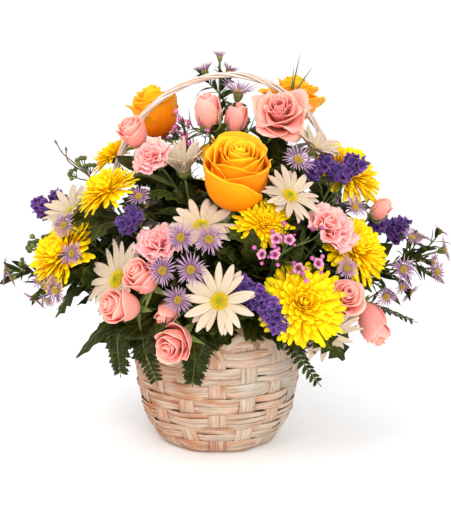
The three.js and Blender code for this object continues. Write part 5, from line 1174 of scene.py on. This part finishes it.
# A strip of splint along a path. Its along and across marks are millimetres over ten, so the grain has
# one scale on every strip.
def addStrip(growth, path, outward, wide, thick, look, tint, cols=5, crown=0.0, fray=0.0, seed=0):
    random = np.random.default_rng(seed)
    path, outward = np.asarray(path, float), np.asarray(outward, float)
    tangent = tangentsOf(path)
    outward = unitRows(outward - tangent * np.sum(outward * tangent, axis=1, keepdims=True))
    side = np.cross(tangent, outward)
    wide = np.broadcast_to(wide, len(path))
    u = np.linspace(-1, 1, cols)
    half = wide[:, None] / 2 * u + fray * random.normal(0, 1, (len(path), cols)) * (np.abs(u) > 0.99)
    raised = outward[:, None] * (crown * (1 - u * u))[:, None]
    grid = path[:, None] + side[:, None] * half[:, :, None] + raised
    run = runOf(path) / 10
    normal = outward[:, None] * np.ones((1, cols, 1))
    tone = np.tile(np.repeat(sideTone(path, tint), cols), 2)
    points = np.concatenate([grid + normal * thick / 2, grid - normal * thick / 2])
    along, across = np.repeat(run, cols), (wide[:, None] / 20 * u).reshape(-1)
    addPart(growth, points, [face[::-1] for face in facesOfSheet(len(path), cols)], look, np.tile(along, 2),
            np.tile(across, 2) + seed % 7, tint, tone)


basketForm = {
    "profile": [(0, 47.5), (2, 50), (5, 53.5), (10, 57.5), (15, 61), (21, 64), (29, 67), (38, 69.4),
                (50, 71.3), (64, 73.6), (80, 75.8), (95, 77), (115, 77.4)],
    "foot": 48.5, "top": 110.0, "stakes": 16, "stakeWidth": 14.5, "stakePoints": 60, "floorPoints": 8,
    "relief": 1.0, "flat": 0.6, "strands": (2, 2, 3, 2, 2, 3, 2, 3), "strandPoints": 172, "turns": 1.06,
    "splint": 0.8, "lap": 0.6, "rings": (17, 27, 37), "ringPoints": 97, "ringWidth": 9.4,
    "twists": 30, "twistPoints": 300,
}


def bowlRadius(z):                 # the outside of the wall at a height, rounded in at the foot
    return np.interp(z, *zip(*basketForm["profile"]))


def weave(angles, side):           # over and under, flat at the crests: 1 is outside, -1 inside
    sway = np.cos(angles) * side
    return np.sign(sway) * np.abs(sway) ** basketForm["flat"]


def growBasket():
    form = basketForm
    growth = newGrowth()
    random = np.random.default_rng(4)
    stakes, top = form["stakes"], form["top"]
    row = top / len(form["strands"])
    for k in range(stakes):        # each stake runs from the middle of the floor, round the foot and up
        theta = (k + random.uniform(-0.1, 0.1)) * turn / stakes
        z = np.linspace(1.2, top + 3, form["stakePoints"])
        sway = weave((z / row - 0.5) * math.pi, -1 if k % 2 else 1)
        out = bowlRadius(z) - 1.5 + form["relief"] * sway * 0.8
        floor = np.linspace(9, form["foot"] - 4, form["floorPoints"])
        outs, ups = np.r_[floor, out], np.r_[1.2 + 0.3 * np.cos(floor / 9 * math.pi + k * math.pi), z]
        path = roundPath(outs, theta, ups)
        away = np.vstack([np.tile((0, 0, -1.0), (len(floor), 1)),
                          np.tile((math.cos(theta), math.sin(theta), -0.2), (len(z), 1))])
        wide = form["stakeWidth"] * np.clip(outs / 46, 0.25, 1.0) * random.uniform(0.94, 1.08)
        addStrip(growth, path, away, wide, form["splint"], splint, random.uniform(0, 1), 5, 0.2, 0.1, k)
    for level, strands in enumerate(form["strands"]):
        for strand in range(strands):
            start = random.uniform(0, turn)
            angles = start + np.linspace(0, turn * form["turns"], form["strandPoints"])
            wide = row / strands + form["lap"] + random.uniform(-0.8, 0.9)
            z = level * row + row * (strand + 0.5) / strands
            slant = random.uniform(-1.1, 1.1) + (1.0 if level > 5 else 0)
            z = z + slant * np.cos(angles + 0.6) + 0.6 * np.sin(3 * angles + level) \
                + 0.4 * np.sin(11 * angles + strand)
            z = np.clip(z, wide / 2 + 0.3, top - wide / 2 + 1)
            sway = weave(angles * stakes / 2, 1 if level % 2 else -1)
            lap = np.linspace(0, 1, len(angles)) ** 16
            out = bowlRadius(z) - 0.9 + form["relief"] * sway + lap + 0.4 * random.uniform(-1, 1)
            tilt = random.uniform(-0.16, 0.16)
            away = roundPath(1, angles, tilt - 0.9 * (1 - z / top) ** 2.3)
            wide = wide * (1 + 0.1 * np.sin(angles * 5 + level) + 0.06 * np.sin(angles * 13))
            addStrip(growth, roundPath(out, angles, z), away, wide, form["splint"], splint,
                     random.uniform(0, 1), 5, 0.22, 0.14, level * 3 + strand)
    for ring, out in enumerate(form["rings"]):     # rings woven through the floor
        angles = np.linspace(0, turn, form["ringPoints"])
        z = 1.4 + 0.6 * np.cos(angles * stakes / 2) * (1 if ring % 2 else -1)
        addStrip(growth, roundPath(out, angles, z), np.tile((0, 0, -1.0), (len(angles), 1)),
                 form["ringWidth"], 0.7, splint, random.uniform(0, 1), 3, 0, 0.1, ring)
    addTube(growth, [(0, 0, 0.3), (0, 0, 0.8), (0, 0, 2.2), (0, 0, 2.8)], (6, 11, 11, 6), 18, splint, 0.4)
    for strand in range(2):        # two thin strips twisted round the foot
        angles = np.linspace(0, turn, form["twistPoints"])
        twist = angles * form["twists"] + strand * math.pi
        path = roundPath(form["foot"] - 1.4 + 0.8 * np.cos(twist), angles, 1.8 + 0.8 * np.sin(twist))
        addTube(growth, path, 0.9, 6, splint, 0.2 + 0.5 * strand)
    finishPiece("basketWall", growth, ["basket_wall"])


rimForm = {
    "outer": 78.6, "inner": 72.9, "low": 101.5, "high": 114.2, "bandPoints": 150,
    "fillers": 3, "fillerPoints": 160, "lashings": 16, "lashing": 6.4, "lashingPoints": 34,
    # a lashing's way over the rim: distance from the axis, height, and share of its reach round the rim
    "over": [(79.0, 100.5, 0.0), (80.1, 103.5, 0.12), (80.3, 108, 0.4), (80.1, 112.6, 0.68),
             (78.6, 115.0, 0.8), (75.8, 115.5, 0.88), (72.9, 114.9, 0.94), (71.5, 112.0, 1.0),
             (71.5, 104, 1.02), (73, 100.5, 1.04)],
    # two splint ends left standing at the front: angle, distance, height; then their width and finish
    "loose": [(((-0.16, 81.2, 120), (-0.1, 82.2, 112), (-0.02, 81.8, 102), (0.07, 79.6, 91)),
               (7.5, 4.0), splint),
              (((0.2, 82, 121), (0.28, 82.8, 115), (0.36, 82.2, 108), (0.45, 80.2, 101)),
               (7.0, 3.0), oliveSplint)],
    "loosePoints": 14,
}


def growRim():
    form = rimForm
    growth = newGrowth()
    random = np.random.default_rng(9)
    middle = (form["low"] + form["high"]) / 2
    for side, out in ((1, form["outer"]), (-1, form["inner"])):
        angles = -1.1 + np.linspace(0, turn * 1.05, form["bandPoints"])
        z = middle + 0.5 * np.sin(2 * angles) + 0.3 * np.sin(5 * angles + side)
        lap = np.linspace(0, 1, len(angles)) ** 12
        addStrip(growth, roundPath(out + side * lap, angles, z), roundPath(side, angles, 0),
                 form["high"] - form["low"] - 0.6, 1.3, splint, 0.3 + 0.3 * side, 5, 0.4, 0.15, 50 + side)
    for k in range(form["fillers"]):               # thin canes that close the rim between the two bands
        angles = np.linspace(0, turn, form["fillerPoints"])
        out = 74.6 + 1.3 * k + 0.2 * np.sin(angles * 7 + k)
        addTube(growth, roundPath(out, angles, 112.6 + 0.5 * np.sin(angles * 9 + k * 2)), 0.95, 6, splint,
                0.2 + 0.3 * k)
    step = turn / form["lashings"]
    for k in range(form["lashings"]):
        theta = (k + 0.18) * turn / form["lashings"]
        reach = random.uniform(0.62, 0.9)
        path = smoothPath([(r * math.cos(theta + step * reach * s), r * math.sin(theta + step * reach * s), z)
                           for r, z, s in form["over"]], form["lashingPoints"])
        core = unitRows(path * (1, 1, 0)) * 75.6
        core[:, 2] = np.clip(path[:, 2], 104, 110)
        addStrip(growth, path, path - core, form["lashing"] * random.uniform(0.8, 1.15), 0.8, splint,
                 random.uniform(0, 1), 5, 0.1, 0.1, 70 + k)
    for k, (points, ends, look) in enumerate(form["loose"]):
        path = smoothPath([(r * math.sin(a), -r * math.cos(a), z) for a, r, z in points], form["loosePoints"])
        wide = np.linspace(*ends, len(path))
        addStrip(growth, path, path * (1, 1, 0), wide, 0.7, look, 0.5, 5, 0.3, 0.15, 90 + k)
    finishPiece("rimHoop", growth, ["rim_hoop"])


handleForm = {
    "canes": 5, "radius": 1.2, "reach": 1.75, "twists": 7.0, "points": 240,
    "grain": 78,                   # the cane's length in tens of millimetres, for its grain
    "route": [(-66.7, 0, 64), (-66.7, 0, 92), (-66.8, 0, 116), (-75, 0, 144), (-88, 0, 176), (-94, 0, 212),
              (-88, 0, 248), (-72, 0, 281), (-46, 0, 307), (-14, 0, 322), (20, 0, 325), (54, 0, 313),
              (84, 0, 285), (100, 0, 246), (104, 0, 210), (98, 0, 176), (83, 0, 143), (66.9, 0, 116),
              (66.7, 0, 92), (66.7, 0, 64)],
}


def growHandle():
    form = handleForm
    growth = newGrowth()
    random = np.random.default_rng(3)
    path = smoothPath(form["route"], form["points"])
    tangent = tangentsOf(path)
    across = np.array([0, 1.0, 0])
    outward = np.cross(across, tangent)
    t = np.linspace(0, 1, len(path))
    for k in range(form["canes"]):
        wander = 0.35 * np.sin(t * 23 + k * 1.7) + 0.2 * np.sin(t * 61 + k)
        angle = t * form["twists"] * turn + k * turn / form["canes"] + wander
        reach = form["reach"] * (1 + 0.1 * np.sin(t * 37 + k * 2.1))
        strand = path + outward * (reach * np.cos(angle))[:, None] + across * (reach * np.sin(angle))[:, None]
        radii = form["radius"] * (1 + 0.08 * np.sin(t * 47 + k)) * random.uniform(0.92, 1.05)
        addTube(growth, strand, radii, 7, cane, random.uniform(0, 1))
        growth["marks"][-1][:, 0] *= form["grain"]
    finishPiece("handle", growth, ["handle"])


growBasket()
growRim()
growHandle()
print("basket woven")


# Floral foam: phenolic foam, pressed into blocks and soaked. Fine open cells make it matt and crumbly.
foamLook, foamSkin = startMaterial("Floral foam, phenolic, soaked")
spot = addNode(foamLook, "TexCoord").outputs["Object"]
# cells of 1.1 mm, coarser than real ones, which would be too fine to show
cells = addNode(foamLook, "TexNoise", {"Scale": 900.0, "Detail": 2.0}, {"Vector": spot})
crumbs = addNode(foamLook, "TexNoise", {"Scale": 120.0, "Detail": 4.0}, {"Vector": spot})
shade = addNode(foamLook, "ValToRGB", links={"Fac": crumbs},
                stops=[(0.3, "#2a4226"), (0.5, "#3a5732"), (0.7, "#4a683f")])
rough = addNode(foamLook, "Bump", {"Strength": 0.6, "Distance": 0.0006}, {"Height": cells})
wireNode(foamLook, foamSkin, {"Roughness": 0.95}, {"Base Color": shade, "Normal": rough})

# Liner: low-density polyethylene, blow moulded. Waxy and slightly uneven, with a soft broad gloss.
linerLook, linerSkin = startMaterial("Polyethylene liner, dark green, blow moulded")
spot = addNode(linerLook, "TexCoord").outputs["Object"]
swirl = addNode(linerLook, "TexNoise", {"Scale": 35.0, "Detail": 2.0}, {"Vector": spot})
shade = addNode(linerLook, "ValToRGB", links={"Fac": swirl}, stops=[(0.3, "#333f31"), (0.7, "#43513f")])
rough = addNode(linerLook, "Bump", {"Strength": 0.2, "Distance": 0.0008}, {"Height": swirl})
wireNode(linerLook, linerSkin, {"Roughness": 0.45, "IOR": 1.51}, {"Base Color": shade, "Normal": rough})
for node, look in (("foam", foamLook), ("liner", linerLook)):
    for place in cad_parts[node].material_slots:
        place.material = look

# Floor: matt white paper sweep, in metres
floorForm = {"size": 6.0, "drop": 0.0003}
paper, paperSkin = startMaterial("Paper sweep, white, matt")
spot = addNode(paper, "TexCoord").outputs["Object"]
fibre = addNode(paper, "TexNoise", {"Scale": 40.0, "Detail": 2.0}, {"Vector": spot})
white = addNode(paper, "ValToRGB", links={"Fac": fibre}, stops=[(0.0, "#f8f8f8"), (1.0, "#fcfcfc")])
wireNode(paper, paperSkin, {"Roughness": 0.9}, {"Base Color": white})
size = floorForm["size"]
floorMesh = bpy.data.meshes.new("floor")
corners = ((-1, -1), (1, -1), (1, 1), (-1, 1))
floorMesh.from_pydata([(x * size, y * size, -floorForm["drop"]) for x, y in corners], [], [(0, 1, 2, 3)])
floorMesh.materials.append(paper)
floor = addThing("floor", floorMesh)

# Light: white surroundings, one large soft key from the upper left in front, and a stronger fill from the
# front, a little to the right
lightForm = {"world": 1.05, "key": 18.0, "keyAt": (-1.0, -1.3, 1.9), "keySize": 1.1, "fill": 27.0,
             "fillAt": (0.4, -2.0, 0.9), "fillSize": 1.0, "aim": (0, 0, 0.17)}
world = bpy.data.worlds.new("white room")
bpy.context.scene.world = world
world.use_nodes = True
world.node_tree.nodes["Background"].inputs["Color"].default_value = (1, 1, 1, 1)
world.node_tree.nodes["Background"].inputs["Strength"].default_value = lightForm["world"]
for name in ("key", "fill"):
    lamp = bpy.data.lights.new(name, "AREA")
    lamp.energy = lightForm[name]
    lamp.size = lightForm[name + "Size"]
    holder = addThing(name, lamp)
    holder.location = lightForm[name + "At"]
    holder.rotation_euler = (Vector(lightForm["aim"]) - holder.location).to_track_quat("-Z", "Y").to_euler()
bpy.context.scene.view_settings.view_transform = "Standard"

# Camera: as the photograph was taken, 1 m in front, a little above, looking 10.2 degrees down
cameraForm = {"at": (0.007, -1.0, 0.345), "pitch": 10.2, "lens": 79.9}
lens = bpy.data.cameras.new("camera")
lens.lens = cameraForm["lens"]
lens.clip_start = 0.01
camera = addThing("camera", lens)
camera.location = cameraForm["at"]
camera.rotation_euler = (math.radians(90 - cameraForm["pitch"]), 0, 0)
bpy.context.scene.camera = camera
print("lights and camera set")
